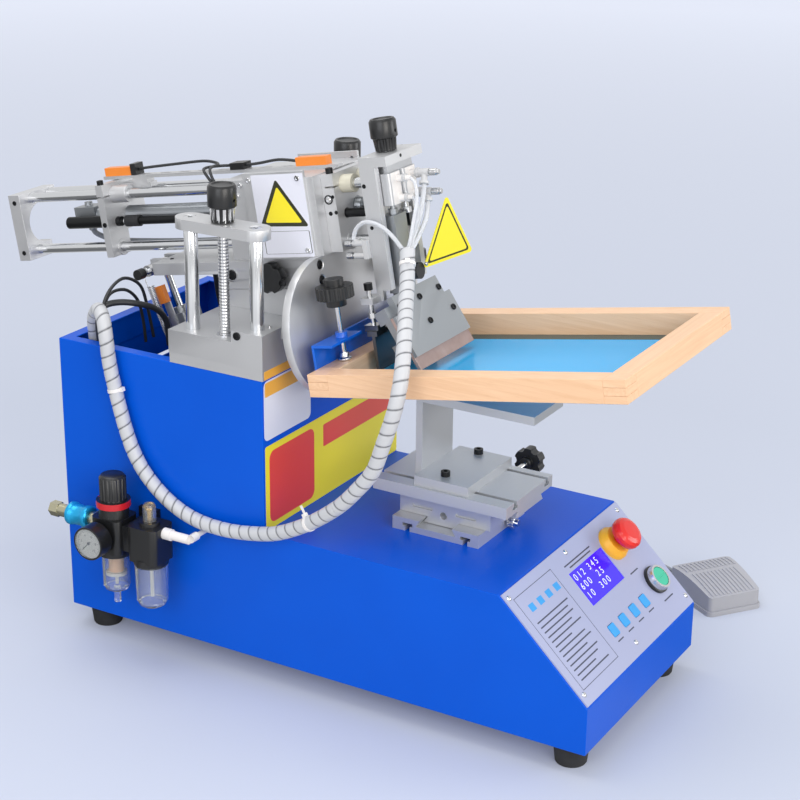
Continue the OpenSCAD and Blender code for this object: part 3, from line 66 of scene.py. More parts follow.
# Camera: it looks down over the machine's front left, as the photograph does.
# The heading, the tilt and the long lens were worked out from the cabinet's edges.
heading, downward, roll = radians(30.22), radians(20.55), radians(0.60)
ahead = Vector((cos(heading) * cos(downward), sin(heading) * cos(downward), -sin(downward)))
level = Vector((sin(heading), -cos(heading), 0))
upright = level.cross(ahead)
camera_data = bpy.data.cameras.new("camera")
camera_data.sensor_width = 36
camera_data.lens = 85.85
camera_data.clip_end = 50
camera = bpy.data.objects.new("camera", camera_data)
bpy.context.scene.collection.objects.link(camera)
camera.matrix_world = Matrix.Translation((-1.89073, -1.15489, 1.11185)) @ Matrix((
    cos(roll) * level + sin(roll) * upright,
    -sin(roll) * level + cos(roll) * upright,
    -ahead)).transposed().to_4x4()
bpy.context.scene.camera = camera
bpy.context.scene.view_settings.view_transform = "Standard"

# Studio: a pale blue-grey floor that runs up into a backdrop of the same colour.
# It is a little paler far off. Large soft lamps stand on the operator's side, left and right,
# on the camera's side and overhead, out of the camera's sight.


def colour(code, alpha=1.0):
    """Turns an sRGB hex value into Blender's linear colour."""
    parts = [int(code[i:i + 2], 16) / 255 for i in (1, 3, 5)]
    return [p / 12.92 if p <= 0.04045 else ((p + 0.055) / 1.055) ** 2.4 for p in parts] + [alpha]


def add(tree, kind, inputs=None, **settings):
    """Adds a shader node, sets its properties, and fills its sockets with values or links."""
    node = tree.nodes.new("ShaderNode" + kind)
    for name, value in settings.items():
        setattr(node, name, value)
    for name, value in (inputs or {}).items():
        socket = node.inputs[name]
        if isinstance(value, bpy.types.NodeSocket):
            tree.links.new(value, socket)
        else:
            socket.default_value = value
    return node


floor_mesh = bmesh.new()
bmesh.ops.create_grid(floor_mesh, x_segments=1, y_segments=1, size=6)
floor_data = bpy.data.meshes.new("studio_floor")
floor_mesh.to_mesh(floor_data)
floor_mesh.free()
floor = bpy.data.objects.new("studio_floor", floor_data)
bpy.context.scene.collection.objects.link(floor)


def background_rays(tree):
    """One for the rays that see the background: straight, mirrored or through glass."""
    seen = add(tree, "LightPath")
    either = add(tree, "Math", {0: seen.outputs["Is Camera Ray"], 1: seen.outputs["Is Glossy Ray"]},
                 operation="MAXIMUM")
    return add(tree, "Math", {0: either.outputs[0], 1: seen.outputs["Is Transmission Ray"]},
               operation="MAXIMUM").outputs[0]


def side_shade(tree, deep):
    """Painted reflection: mirrors see the floor darker to the camera's left and right than the
    camera sees it, so that bright metal gets the dark bands that it has in a real room."""
    spot = add(tree, "VectorMath", {0: add(tree, "TexCoord").outputs["Object"],
                                    1: (1, 1, 0)}, operation="MULTIPLY")
    flat = add(tree, "VectorMath", {0: spot.outputs[0]}, operation="NORMALIZE")
    aside = add(tree, "VectorMath", {0: flat.outputs[0], 1: tuple(level)}, operation="DOT_PRODUCT")
    share = add(tree, "Math", {0: aside.outputs["Value"]}, operation="ABSOLUTE")
    dark = add(tree, "MapRange", {"Value": share.outputs[0], "From Min": 0.80, "From Max": 0.96,
                                  "To Min": 0.0, "To Max": deep})
    seen = add(tree, "LightPath")
    return add(tree, "Math", {0: dark.outputs[0], 1: seen.outputs["Is Glossy Ray"]},
               operation="MULTIPLY").outputs[0]


paper = bpy.data.materials.new("studio_paper")
paper.use_nodes = True
tree = paper.node_tree
paper_shader = tree.nodes["Principled BSDF"]
tint = add(tree, "MixRGB", {"Fac": add(tree, "LightPath").outputs["Is Camera Ray"],
                            "Color1": colour("#bfc0c2"), "Color2": colour("#b6bdcd")})
# Painted reflection: for mirrored rays the floor is darkened at the camera's sides.
shaded = side_shade(tree, 0.8)
dim = add(tree, "MixRGB", {"Fac": shaded, "Color1": tint.outputs[0], "Color2": colour("#26282b")})
tree.links.new(dim.outputs[0], paper_shader.inputs["Base Color"])
paper_shader.inputs["Roughness"].default_value = 0.7
away = add(tree, "VectorMath", {0: add(tree, "TexCoord").outputs["Object"]}, operation="LENGTH")
paler = add(tree, "MapRange", {"Value": away.outputs["Value"], "From Min": 0.9, "From Max": 5.0,
                               "To Min": 0.10, "To Max": 0.5})
glow = add(tree, "Math", {0: background_rays(tree), 1: paler.outputs[0]}, operation="MULTIPLY")
lit = add(tree, "Math", {0: 1.0, 1: shaded}, operation="SUBTRACT")
glow = add(tree, "Math", {0: glow.outputs[0], 1: lit.outputs[0]}, operation="MULTIPLY")
tint = add(tree, "MixRGB", {"Fac": add(tree, "LightPath").outputs["Is Camera Ray"],
                            "Color1": colour("#f6f6f7"), "Color2": colour("#eff3ff")})
tree.links.new(tint.outputs[0], paper_shader.inputs["Emission Color"])
tree.links.new(glow.outputs[0], paper_shader.inputs["Emission Strength"])
floor_data.materials.append(paper)

world = bpy.data.worlds.new("studio_air")
world.use_nodes = True
bpy.context.scene.world = world
air = world.node_tree
tint = add(air, "MixRGB", {"Fac": add(air, "LightPath").outputs["Is Camera Ray"],
                           "Color1": colour("#f1f1f2"), "Color2": colour("#e9edf5")})
air.links.new(tint.outputs[0], air.nodes["Background"].inputs["Color"])
strength = add(air, "MapRange", {"Value": background_rays(air), "To Min": 0.66, "To Max": 0.95})
air.links.new(strength.outputs[0], air.nodes["Background"].inputs["Strength"])

for lamp_name, place, target, size, watts, tint in (
        ("key_lamp", (-1.9, -2.9, 1.7), (0, -0.1, 0.3), 2.0, 62, "#fffaf4"),
        ("side_lamp", (-3.0, -0.3, 1.7), (0, 0, 0.3), 2.0, 30, "#f6f9ff"),
        ("right_lamp", (2.4, -4.0, 1.6), (0, 0, 0.3), 2.2, 58, "#ffffff"),
        ("top_lamp", (-0.3, 0.6, 3.2), (0, 0, 0.3), 2.4, 44, "#ffffff")):
    lamp_data = bpy.data.lights.new(lamp_name, "AREA")
    lamp_data.shape = "SQUARE"
    lamp_data.size = size
    lamp_data.energy = watts
    lamp_data.color = colour(tint)[:3]
    lamp = bpy.data.objects.new(lamp_name, lamp_data)
    bpy.context.scene.collection.objects.link(lamp)
    toward = (Vector(target) - Vector(place)).to_track_quat("-Z", "Y")
    lamp.matrix_world = Matrix.LocRotScale(Vector(place), toward, None)
    lamp.visible_camera = False

# Foot switch lead: round PVC cable, 5.5 mm thick, that leaves the pedal's heel, lies on the
# floor round the cabinet's right side, and climbs into the socket on the rear panel.
MM = Matrix.Scale(0.001, 4)
CABINET = Matrix.Translation((-0.086, -0.012, 0.029)) @ MM
HEAD = (CABINET @ Matrix.Translation((0, 8.2, 441.8)) @ Matrix.Rotation(radians(-10), 4, "X")
        @ Matrix.Translation((0, -6, -13)))


def flowing(points, steps):
    """Points on a smooth curve through the given ones, as the part's source makes them."""
    made = []
    last = len(points) - 1
    for i in range(last):
        a, b = Vector(points[max(i - 1, 0)]), Vector(points[i])
        c, d = Vector(points[i + 1]), Vector(points[min(i + 2, last)])
        for j in range(steps):
            t = j / steps
            made.append(0.5 * (2 * b + (c - a) * t + (2 * a - 5 * b + 4 * c - d) * t * t
                               + (3 * b - a - 3 * c + d) * t ** 3))
    return made + [Vector(points[last])]


def run_length(points):
    return sum((b - a).length for a, b in zip(points, points[1:]))


def made_of(name, tree_base, **sockets):
    """Starts a material: its colour, and the plain settings of its shader."""
    material = bpy.data.materials.new(name)
    material.use_nodes = True
    shader = material.node_tree.nodes["Principled BSDF"]
    shader.inputs["Base Color"].default_value = colour(tree_base)
    for key, value in sockets.items():
        shader.inputs[key.replace("_", " ")].default_value = value
    material.diffuse_color = colour(tree_base)
    return material, material.node_tree, shader


def grained(started, scale, strength, depth, **noise):
    """Gives a started material a fine relief of noise, in the object's own space."""
    material, tree, shader = started
    speck = add(tree, "TexNoise", {"Vector": add(tree, "TexCoord").outputs["Object"],
                                   "Scale": float(scale), **noise})
    bump = add(tree, "Bump", {"Height": speck.outputs["Fac"], "Strength": strength,
                              "Distance": depth})
    tree.links.new(bump.outputs[0], shader.inputs["Normal"])
    return material


def cable(name, body, material, points, diameter,
          place=CABINET, steps=5):
    """A round cord on a smooth line through points."""
    line = [place @ p for p in flowing(points, steps)]
    data = bpy.data.curves.new(name, "CURVE")
    data.dimensions = "3D"
    data.bevel_depth = diameter / 2
    data.bevel_resolution = 3
    data.use_fill_caps = True
    spline = data.splines.new("POLY")
    spline.points.add(len(line) - 1)
    for point, spot in zip(spline.points, line):
        point.co = (*spot, 1)
    spline.use_smooth = True
    data.materials.append(material)
    cord = bpy.data.objects.new(name, data)
    bpy.context.scene.collection.objects.link(cord)
    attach(cord, body)
    return cord


# PVC sheath: extruded, dark grey, a satin gloss with a very fine waviness
pvc = grained(made_of("black_pvc_sheath", "#26282b", Roughness=0.45), 400, 0.08, 0.0004)

grey_pvc = grained(made_of("grey_pvc_sheath", "#8d9197", Roughness=0.5), 300, 0.1, 0.0004)

lead = cable("pedal_lead", "base", grey_pvc, [
    (361, -321, -22), (370, -309, -23), (384, -288, -25), (400, -255, -26), (424, -180, -26),
    (434, -100, -26), (430, 0, -26), (410, 100, -26), (370, 190, -26), (310, 270, -26),
    (235, 335, -26), (150, 375, -26), (70, 385, -26), (10, 372, -20), (-30, 350, 8),
    (-48, 334, 40), (-50, 325, 56), (-50, 312, 60)], 0.0055)
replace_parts(lead, "pedal_cord")

# Spiral hose: the air lines and wires are bundled in a wound strip of light grey nylon,
# 17 mm across. It leaves the tall part's roof and climbs to the print head, in one length for
# each joint that it crosses: the lift of the plate, the tilt of the head and the travel of the
# carriage.
HOSE_D, WIND = 0.017, 0.0145
hose_line = [CABINET @ p for p in flowing([
    (-118, 262, 300), (-120, 260, 340), (-128, 255, 374), (-141, 237, 393), (-156, 218, 388),
    (-162, 210, 366), (-162, 205, 328), (-162, 187, 260), (-162, 170, 222), (-162, 146, 195),
    (-162, 117, 176), (-163, 84, 166), (-165, 43, 165), (-167, 2, 171), (-170, -35, 182),
    (-174, -77, 205), (-178, -117, 235), (-180, -143, 262), (-180, -164, 290), (-180, -177, 325),
    (-178, -186, 354), (-173, -190, 379), (-162, -188, 402), (-133, -174, 432),
    (-102, -157, 451), (-72, -141, 471), (-51, -129, 500)], 12)]

# Nylon strip: extruded and wound, a soft gloss; the gap between its turns is dark
nylon, tree, shader = made_of("wound_nylon_strip", "#c3c5c9", Roughness=0.42)
gap = add(tree, "Attribute", attribute_name="winding_gap")
shade = add(tree, "MixRGB", {"Fac": gap.outputs["Fac"], "Color1": colour("#c3c5c9"),
                             "Color2": colour("#33363d")})
tree.links.new(shade.outputs[0], shader.inputs["Base Color"])


def spiral_length(name, first, last, body_a, body_b, start, end):
    """One length of the hose, its wound strip cut in as a groove."""
    line = hose_line[first:last + 1]
    before = run_length(hose_line[:first + 1])
    sides, ring_step = 20, 0.001
    total = run_length(line)
    count = ceil(total / ring_step)
    rings, walked, spot = [], 0.0, 0
    side = None
    mesh = bmesh.new()
    gap_layer = mesh.verts.layers.float.new("winding_gap")
    for r in range(count + 1):
        wanted = total * r / count
        while spot < len(line) - 2 and walked + (line[spot + 1] - line[spot]).length < wanted:
            walked += (line[spot + 1] - line[spot]).length
            spot += 1
        step = line[spot + 1] - line[spot]
        centre = line[spot] + step * min((wanted - walked) / step.length, 1)
        ahead_ = step.normalized()
        if side is None:
            side = ahead_.cross(Vector((0, 0, 1)) if abs(ahead_.z) < 0.8 else Vector((1, 0, 0)))
        side = (side - ahead_ * side.dot(ahead_)).normalized()
        other = ahead_.cross(side)
        ring = []
        for k in range(sides):
            turn = 2 * pi * k / sides
            phase = ((before + wanted) / WIND - k / sides) % 1.0
            near = max(0.0, 1 - min(phase, 1 - phase) / 0.1)
            radius = HOSE_D / 2 - 0.0007 * near
            vert = mesh.verts.new(centre + radius * (cos(turn) * side + sin(turn) * other))
            vert[gap_layer] = near
            ring.append(vert)
        rings.append(ring)
    for a, b in zip(rings, rings[1:]):
        for k in range(sides):
            mesh.faces.new((a[k], a[(k + 1) % sides], b[(k + 1) % sides], b[k]))
    mesh.faces.new(list(reversed(rings[0])))
    mesh.faces.new(rings[-1])
    for face in mesh.faces:
        face.smooth = True
    bmesh.ops.recalc_face_normals(mesh, faces=mesh.faces)
    data = bpy.data.meshes.new(name)
    mesh.to_mesh(data)
    mesh.free()
    data.materials.append(nylon)
    hose = bpy.data.objects.new(name, data)
    bpy.context.scene.collection.objects.link(hose)
    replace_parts(hose, "spiral_hose")
    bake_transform(hose)
    return hose


hose_lengths = (
    ("hose_rear", 0, 132, "base", "lift", (-120, 262, 300), (-120, 130, 300)),
    ("hose_middle", 132, 192, "lift", "head", (-163, 80, 170), (-163, -110, 170)),
    ("hose_front", 192, 312, "head", "carriage", (-178, -120, 240), (-178, -120, 440)))
for *length, start, end in hose_lengths:
    spiral_length(*length, CABINET @ Vector(start), CABINET @ Vector(end))

# Sensor leads: 3.5 mm, from the two orange sensors along the rail and down into the housing
cable("front_sensor_lead", "head", pvc, [
    (0, 24.2, 143.3), (0, 50, 146), (0, 77.4, 143.3), (-1, 92, 142.5), (-1, 118, 142.5),
    (-3, 130, 143), (-12, 138, 144), (-28, 136, 145.5), (-40, 130, 144), (-41, 121, 131),
    (-38, 110, 116), (-34, 97, 105), (-30, 82, 99)], 0.0035, place=HEAD)
cable("rear_sensor_lead", "head", pvc, [
    (0, 257.5, 143), (0, 250, 145.1), (0, 202.5, 147.7), (0, 160, 149.4), (-2, 140, 147),
    (-10, 131, 145.5), (-26, 128, 146), (-39, 122, 143.5), (-43, 115, 131), (-40, 106, 118),
    (-35, 96, 109), (-29, 82, 103)], 0.0035, place=HEAD)

# Leads that loop out of the bin, a thick one behind them, and the head's own hose on the right
cable("bin_lead_outer", "base", pvc, [
    (-128, 236, 332), (-131, 236, 372), (-137.2, 232, 398.7), (-122.8, 230, 417),
    (-98, 230, 421.6), (-70.2, 230, 405.7), (-58.2, 230, 377.4), (-50, 228, 335)], 0.004)
cable("bin_lead_inner", "base", pvc, [
    (-122, 240, 332), (-128, 240, 375), (-123.5, 236, 405), (-95.3, 234, 406),
    (-71.3, 234, 387.2), (-62, 234, 360), (-58, 234, 330)], 0.004)
cable("bin_power_lead", "base", pvc, [
    (-130, 244, 334), (-134, 244, 372), (-133, 236, 394), (-116, 226, 397), (-96, 212, 392),
    (-74, 204, 381), (-58, 202, 362), (-53, 202, 330)],
    0.0075)
cable("head_air_hose", "head", pvc, [
    (35, 197, 8), (37, 199, -4), (44, 204, -36), (50, 200, -84), (50, 180, -134)], 0.0065,
    place=HEAD)
cable("cylinder_air_hose", "head", grey_pvc, [
    (5, 353, 71), (8, 352, 65), (13.5, 346, 59), (15, 334, 55), (15, 300, 52), (14, 200, 50),
    (12, 110, 52), (8, 82, 58)], 0.007, place=HEAD)

# Clear polyurethane tubes of the two head cylinders: all run into the spiral hose's end
pu_tube = grained(made_of("clear_polyurethane_tube", "#eef1f6", Roughness=0.12,
                          Transmission_Weight=0.45, IOR=1.35),
                  150, 0.05, 0.0003)
for name, thick, points in (
        ("flood_tube_upper", 0.0055, [(10, -135, 109), (6, -136, 101), (-12, -138, 78),
                                      (-34, -139, 58), (-49, -139, 43)]),
        ("flood_tube_lower", 0.0055, [(13, -135, 89), (10, -136, 84), (-6, -140, 70),
                                      (-30, -141, 54), (-50, -140, 42)]),
        ("squeegee_tube_upper", 0.004, [(-13, -131, 120), (-14, -138, 114), (-20, -141, 96),
                                        (-36, -140, 68), (-51, -139, 43)]),
        ("squeegee_tube_lower", 0.004, [(-13, -131, 98), (-15, -138, 91), (-23, -140, 75),
                                        (-40, -138, 56), (-53, -138, 42)]),
        ("throttle_tube", 0.005, [(-44, -69, 56), (-46, -68, 61), (-46, -74, 72), (-46, -87, 78.4),
                                  (-46, -105, 73.4), (-46, -118.5, 61.7), (-48, -128, 51),
                                  (-51, -136, 43)])):
    cable(name, "carriage", pu_tube, points, thick, place=HEAD)

# Cabinet: folded sheet steel, welded and stoved in a bright blue enamel. It is open under the
# head and closed at the back by a screwed panel with louvres, an appliance inlet and the
# foot switch socket.


def settle(mesh, name, body, material, place=CABINET, edge=0.0, sharp=35):
    """Puts a finished bmesh in its place, smooths it, breaks its edges and fixes it to its body."""
    bmesh.ops.transform(mesh, matrix=place, verts=mesh.verts)
    bmesh.ops.recalc_face_normals(mesh, faces=mesh.faces)
    data = bpy.data.meshes.new(name)
    mesh.to_mesh(data)
    mesh.free()
    data.shade_smooth()
    data.set_sharp_from_angle(angle=radians(sharp))
    for one in material if isinstance(material, (list, tuple)) else [material]:
        data.materials.append(one)
    made = bpy.data.objects.new(name, data)
    bpy.context.scene.collection.objects.link(made)
    if edge:
        break_edges(made, edge)
    if body:
        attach(made, body)
    return made


def break_edges(made, width, angle=40):
    """A fine rounded edge, as a file or a tumbling barrel leaves it."""
    bevel = made.modifiers.new("broken_edge", "BEVEL")
    bevel.width = width / 1000
    bevel.segments = 2
    bevel.limit_method = "ANGLE"
    bevel.angle_limit = radians(angle)
    bevel.harden_normals = True


def dress(node, material, edge=0.0):
    """Gives a CAD node its real finish, and breaks its sharp edges."""
    made = frame["nodes"][node]
    if not made.data.materials:
        made.data.materials.append(material)
    for held in made.material_slots:
        held.material = material
    if edge:
        weld = made.modifiers.new("weld", "WELD")
        weld.merge_threshold = 1e-6
        flat = made.modifiers.new("one_face", "DECIMATE")
        flat.decimate_type = "DISSOLVE"
        flat.angle_limit = radians(0.6)
        break_edges(made, edge)
    return made


def carry(node, finishes, choose, place=CABINET, edge=0.0, sharp=35, name=None):
    """A copy of a CAD node, merged, whose faces take the finish that choose() picks."""
    source = frame["nodes"][node]
    mesh = bmesh.new()
    mesh.from_mesh(source.data)
    bmesh.ops.remove_doubles(mesh, verts=mesh.verts, dist=1e-6)
    bmesh.ops.dissolve_limit(mesh, angle_limit=radians(0.6), verts=mesh.verts,
                             edges=mesh.edges)
    back = place.inverted()
    turn = back.to_3x3()
    for face in mesh.faces:
        face.material_index = choose(back @ face.calc_center_median(),
                                     (turn @ face.normal).normalized())
    made = settle(mesh, name or node + "_finished", source["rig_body"], finishes,
                  Matrix.Identity(4), edge, sharp)
    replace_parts(made, node)
    return made


def block(mesh, low, high, turn=Matrix.Identity(4)):
    """A box between two corners."""
    low, high = Vector(low), Vector(high)
    spot = turn @ Matrix.Translation((low + high) / 2) @ Matrix.Diagonal((*(high - low), 1))
    return bmesh.ops.create_cube(mesh, size=1, matrix=spot)["verts"]


def drum(mesh, foot, head, radius, top=None, sides=32):
    """A capped cylinder or cone from one point to another."""
    foot, head = Vector(foot), Vector(head)
    along = head - foot
    spot = (Matrix.Translation((foot + head) / 2)
            @ along.to_track_quat("Z", "Y").to_matrix().to_4x4())
    return bmesh.ops.create_cone(mesh, cap_ends=True, segments=sides, radius1=radius,
                                 radius2=radius if top is None else top, depth=along.length,
                                 matrix=spot)["verts"]


def turned(mesh, outline, foot, axis, sides=48):
    """A lathe-turned solid: an outline of radius and height, spun about an axis."""
    verts = [mesh.verts.new((r, 0, h)) for r, h in outline]
    edges = [mesh.edges.new(pair) for pair in zip(verts, verts[1:])]
    bmesh.ops.spin(mesh, geom=verts + edges, cent=(0, 0, 0), axis=(0, 0, 1),
                   angle=2 * pi, steps=sides, use_merge=True)
    whole = set(verts)
    grow = list(verts)
    while grow:
        vert = grow.pop()
        for edge in vert.link_edges:
            other = edge.other_vert(vert)
            if other not in whole:
                whole.add(other)
                grow.append(other)
    spot = Matrix.Translation(foot) @ Vector(axis).to_track_quat("Z", "Y").to_matrix().to_4x4()
    bmesh.ops.remove_doubles(mesh, verts=list(whole), dist=1e-4)
    whole = [v for v in whole if v.is_valid]
    bmesh.ops.transform(mesh, matrix=spot, verts=whole)
    return whole


def cap_screw(mesh, seat, out, head, tall):
    """A socket head cap screw, seen from its head: a low drum with a hexagon socket."""
    seat, out = Vector(seat), Vector(out).normalized()
    verts = drum(mesh, seat - out * 0.2, seat + out * tall, head / 2, sides=24)
    crown = max((f for f in {f for v in verts for f in v.link_faces}),
                key=lambda f: f.calc_center_median().dot(out))
    bmesh.ops.inset_region(mesh, faces=[crown], thickness=head * 0.06, depth=head * 0.06)
    bmesh.ops.inset_region(mesh, faces=[crown], thickness=head * 0.15)
    centre = crown.calc_center_median()
    across = crown.verts[0].co - centre
    across.normalize()
    upward = out.cross(across)
    for vert in crown.verts:
        spoke = vert.co - centre
        turn = atan2(spoke.dot(upward), spoke.dot(across))
        reach = head * 0.26 / cos((turn % (pi / 3)) - pi / 6)
        vert.co = centre + spoke.normalized() * reach
    socket = bmesh.ops.extrude_discrete_faces(mesh, faces=[crown])["faces"][0]
    bmesh.ops.translate(mesh, vec=-out * tall * 0.55, verts=socket.verts)
    return verts


def screws(name, body, material, place, seats):
    """Socket screws of one finish: each one's seat, its way out, its head's width and height."""
    mesh = bmesh.new()
    for seat, out, head, tall in seats:
        cap_screw(mesh, seat, out, head, tall)
    return settle(mesh, name, body, material, place)


def bent_wire(mesh, line, radius, sides=8):
    """A round wire bent along a line of points."""
    side, rings = None, []
    for i, spot in enumerate(line):
        ahead_ = (line[min(i + 1, len(line) - 1)] - line[max(i - 1, 0)]).normalized()
        side = side or ahead_.orthogonal()
        side = (side - ahead_ * side.dot(ahead_)).normalized()
        other = ahead_.cross(side)
        rings.append([mesh.verts.new(spot + radius * (cos(2 * pi * k / sides) * side
                                                      + sin(2 * pi * k / sides) * other))
                      for k in range(sides)])
    for a, b in zip(rings, rings[1:]):
        for k in range(sides):
            mesh.faces.new((a[k - 1], a[k], b[k], b[k - 1]))
    mesh.faces.new(rings[0])
    mesh.faces.new(rings[-1])


# Blue enamel: stoved on sheet steel, semi-gloss, with the faint orange peel of sprayed paint
enamel, tree, shader = made_of("blue_stoved_enamel", "#0056d0", Roughness=0.3,
                               Specular_IOR_Level=0.15)
spots = add(tree, "TexCoord").outputs["Object"]
peel = add(tree, "TexNoise", {"Vector": spots, "Scale": 420.0, "Detail": 1.0})
cloud = add(tree, "TexNoise", {"Vector": spots, "Scale": 9.0, "Detail": 2.0})
tone = add(tree, "MixRGB", {"Fac": cloud.outputs["Fac"], "Color1": colour("#0052ca"),
                            "Color2": colour("#005ad6")})
tree.links.new(tone.outputs[0], shader.inputs["Base Color"])
bump = add(tree, "Bump", {"Height": peel.outputs["Fac"], "Strength": 0.10, "Distance": 0.0006})
tree.links.new(bump.outputs[0], shader.inputs["Normal"])
dress("cabinet", enamel, edge=1.2)

# Black moulded nylon and phenolic: slightly glossy, with a fine moulded grain
phenolic = grained(made_of("black_moulded_phenolic", "#1a1b1d", Roughness=0.32),
                   900, 0.12, 0.0003, Detail=2.0)

# Nickel-plated zinc: bright, a little blurred, for screws, sockets and bezels
nickel, tree, shader = made_of("bright_nickel_plate", "#d5d6d8", Roughness=0.16, Metallic=1.0)
veil = add(tree, "TexNoise", {"Vector": add(tree, "TexCoord").outputs["Object"],
                              "Scale": 260.0, "Detail": 3.0})
dull = add(tree, "MapRange", {"Value": veil.outputs["Fac"], "To Min": 0.12, "To Max": 0.24})
tree.links.new(dull.outputs[0], shader.inputs["Roughness"])


def rear_finish(spot, out):
    if abs(spot.x + 50) < 12 and abs(spot.z - 60) < 12 and spot.y > 293.4:
        return 2
    if 40 < spot.x < 100 and 55 < spot.z < 95 and (spot.y > 293.7 or spot.y < 291.9):
        return 1
    if abs(spot.x - 70) < 24.1 and abs(spot.z - 75) < 14.1:
        return 1
    return 0


carry("rear_panel", [enamel, phenolic, nickel], rear_finish, edge=0.2)

screws("rear_panel_screws", "base", nickel, CABINET,
       [((x, 293.5, z), (0, 1, 0), 7, 2.6) for x in (-132, 0, 132) for z in (27, 314)])

# The three flat pins in the appliance inlet's recess
inlet_pins = bmesh.new()
for x, z in ((63, 79), (56, 71), (70, 71)):
    block(inlet_pins, (x - 2.3, 275, z - 0.9), (x + 2.3, 289, z + 0.9))
settle(inlet_pins, "mains_inlet_pins", "base", nickel, edge=0.3)

# Rubber feet: turned-down buffers of matt black rubber under each corner
rubber, tree, shader = made_of("matt_black_rubber", "#1f2022", Roughness=0.78)
bloom = add(tree, "TexNoise", {"Vector": add(tree, "TexCoord").outputs["Object"],
                               "Scale": 120.0, "Detail": 4.0})
tone = add(tree, "MixRGB", {"Fac": bloom.outputs["Fac"], "Color1": colour("#1b1c1e"),
                            "Color2": colour("#2c2d30")})
tree.links.new(tone.outputs[0], shader.inputs["Base Color"])
dress("rubber_feet", rubber)

# Plates stuck on the tall part's front: printed self-adhesive film with rounded corners.
# The white one has an orange band, and the yellow one a red square and a red bar; both are
# left bare.


def rounded(corners, radius, steps=6):
    """The outline of a flat shape with its corners rounded off."""
    outline = []
    for i, corner in enumerate(corners):
        spot = Vector(corner)
        before = (Vector(corners[i - 1]) - spot).normalized()
        after = (Vector(corners[(i + 1) % len(corners)]) - spot).normalized()
        half = before.angle(after) / 2
        middle = spot + (before + after).normalized() * radius / sin(half)
        first, last = (spot + way * radius / tan(half) - middle for way in (before, after))
        outline += [middle + radius * first.slerp(last, k / steps) for k in range(steps + 1)]
    return outline


def film(mesh, corners, radius, y, out=-0.3, index=0):
    """A piece of film on an upright face, given by its corners' x and z."""
    outline = rounded(corners, radius)
    near = [mesh.verts.new((x, y, z)) for x, z in outline]
    far = [mesh.verts.new((x, y + out, z)) for x, z in outline]
    sides = [(near[i - 1], near[i], far[i], far[i - 1]) for i in range(len(near))]
    for ring in [near, far] + sides:
        mesh.faces.new(ring).material_index = index


def oblong(low, high):
    return [low, (high[0], low[1]), high, (low[0], high[1])]


def drawn_in(corners, share):
    """The same shape, drawn in towards its middle."""
    middle = sum((Vector(c) for c in corners), Vector((0, 0))) / len(corners)
    return [middle.lerp(Vector(c), share) for c in corners]


def printed(name, code):
    """Printed vinyl film: its ink under a satin clear film, with a slight ripple."""
    ink = grained(made_of(name, code, Roughness=0.38, Coat_Weight=0.3, Coat_Roughness=0.25),
                  60, 0.08, 0.0008, Detail=1.0)
    return ink


white_film = printed("white_vinyl_film", "#e4e6f2")
orange_film = printed("orange_vinyl_film", "#f5b23c")
yellow_film = printed("yellow_vinyl_film", "#fbe92c")
red_film = printed("red_vinyl_film", "#ef4b3b")
dark_film = printed("black_vinyl_film", "#2c2f1c")
plates = bmesh.new()
film(plates, oblong((-147, 277), (-51, 349)), 7, 0)
film(plates, oblong((-145, 330), (-53, 347)), 2, -0.3, -0.12, 1)
film(plates, oblong((-147, 351.5), (-51, 361.5)), 1, -1, -0.3, 1)
film(plates, oblong((-146, 166), (149, 270)), 3, 0, -0.3, 2)
film(plates, oblong((-138, 173), (-44, 262)), 10, -0.3, -0.12, 3)
film(plates, oblong((-24, 230), (140, 258)), 2, -0.3, -0.12, 3)
settle(plates, "front_film_plates", "base",
       [white_film, orange_film, yellow_film, red_film])

# Plate on the head's left cover: white film with a yellow triangle, dark-edged and bare, over
# a dark-framed bare field. Here x runs to the rear and y away from the machine's middle.
COVER = HEAD @ Matrix(((0, 1, 0, -60), (1, 0, 0, 0), (0, 0, 1, 0), (0, 0, 0, 1)))
cover_plate = bmesh.new()
film(cover_plate, oblong((-21.3, 43.6), (50, 139.5)), 1, 0)
triangle = [(16.6, 134.2), (46.6, 80.2), (-20.4, 78.6)]
film(cover_plate, triangle, 2, -0.3, -0.1, 2)
film(cover_plate, drawn_in(triangle, 0.76), 1.5, -0.4, -0.1, 1)
field = oblong((-19.5, 47.5), (44.5, 74))
film(cover_plate, field, 1.5, -0.3, -0.1, 2)
film(cover_plate, drawn_in(field, 0.972), 1, -0.4, -0.1, 0)
settle(cover_plate, "head_cover_film", "head", [white_film, yellow_film, dark_film],
       COVER)

# Control panel: a flat cover plate with a printed film, held by six screws in the slope.
# It carries a display behind a window, four keys, a mushroom stop and a lit start switch.
SLOPE = (CABINET @ Matrix.Translation((0, -304, 165))
         @ Matrix.Rotation(atan2(108, 111), 4, "X"))

panel_film = grained(made_of("lilac_panel_film", "#a4aac9", Roughness=0.42),
                     1500, 0.15, 0.0002, Detail=1.0)

# Display glass: a flat blue backlit window under a glossy cover
display_glass, tree, shader = made_of("blue_lit_display", "#3a22e8", Roughness=0.12)
shader.inputs["Emission Color"].default_value = colour("#3a1cf0")
shader.inputs["Emission Strength"].default_value = 0.35

stop_yellow, tree, shader = made_of("yellow_moulded_nylon", "#f7b32b", Roughness=0.35)
shader.inputs["Subsurface Weight"].default_value = 0.05


def panel_finish(spot, out):
    local = SLOPE.inverted() @ (CABINET @ spot)
    if hypot(local.x - 84, local.y + 38) < 21.5:
        return 2 if local.z > 2.01 else 3
    if hypot(local.x - 109, local.y + 103) < 16.5:
        return 4 if local.z > 2.01 else 3
    if local.z < 1.01 and abs(local.x - 19.5) < 43.5 and abs(local.y + 54.5) < 23:
        return 1
    return 0


carry("control_panel", [panel_film, display_glass, stop_yellow, phenolic, nickel],
      panel_finish, edge=0.3)

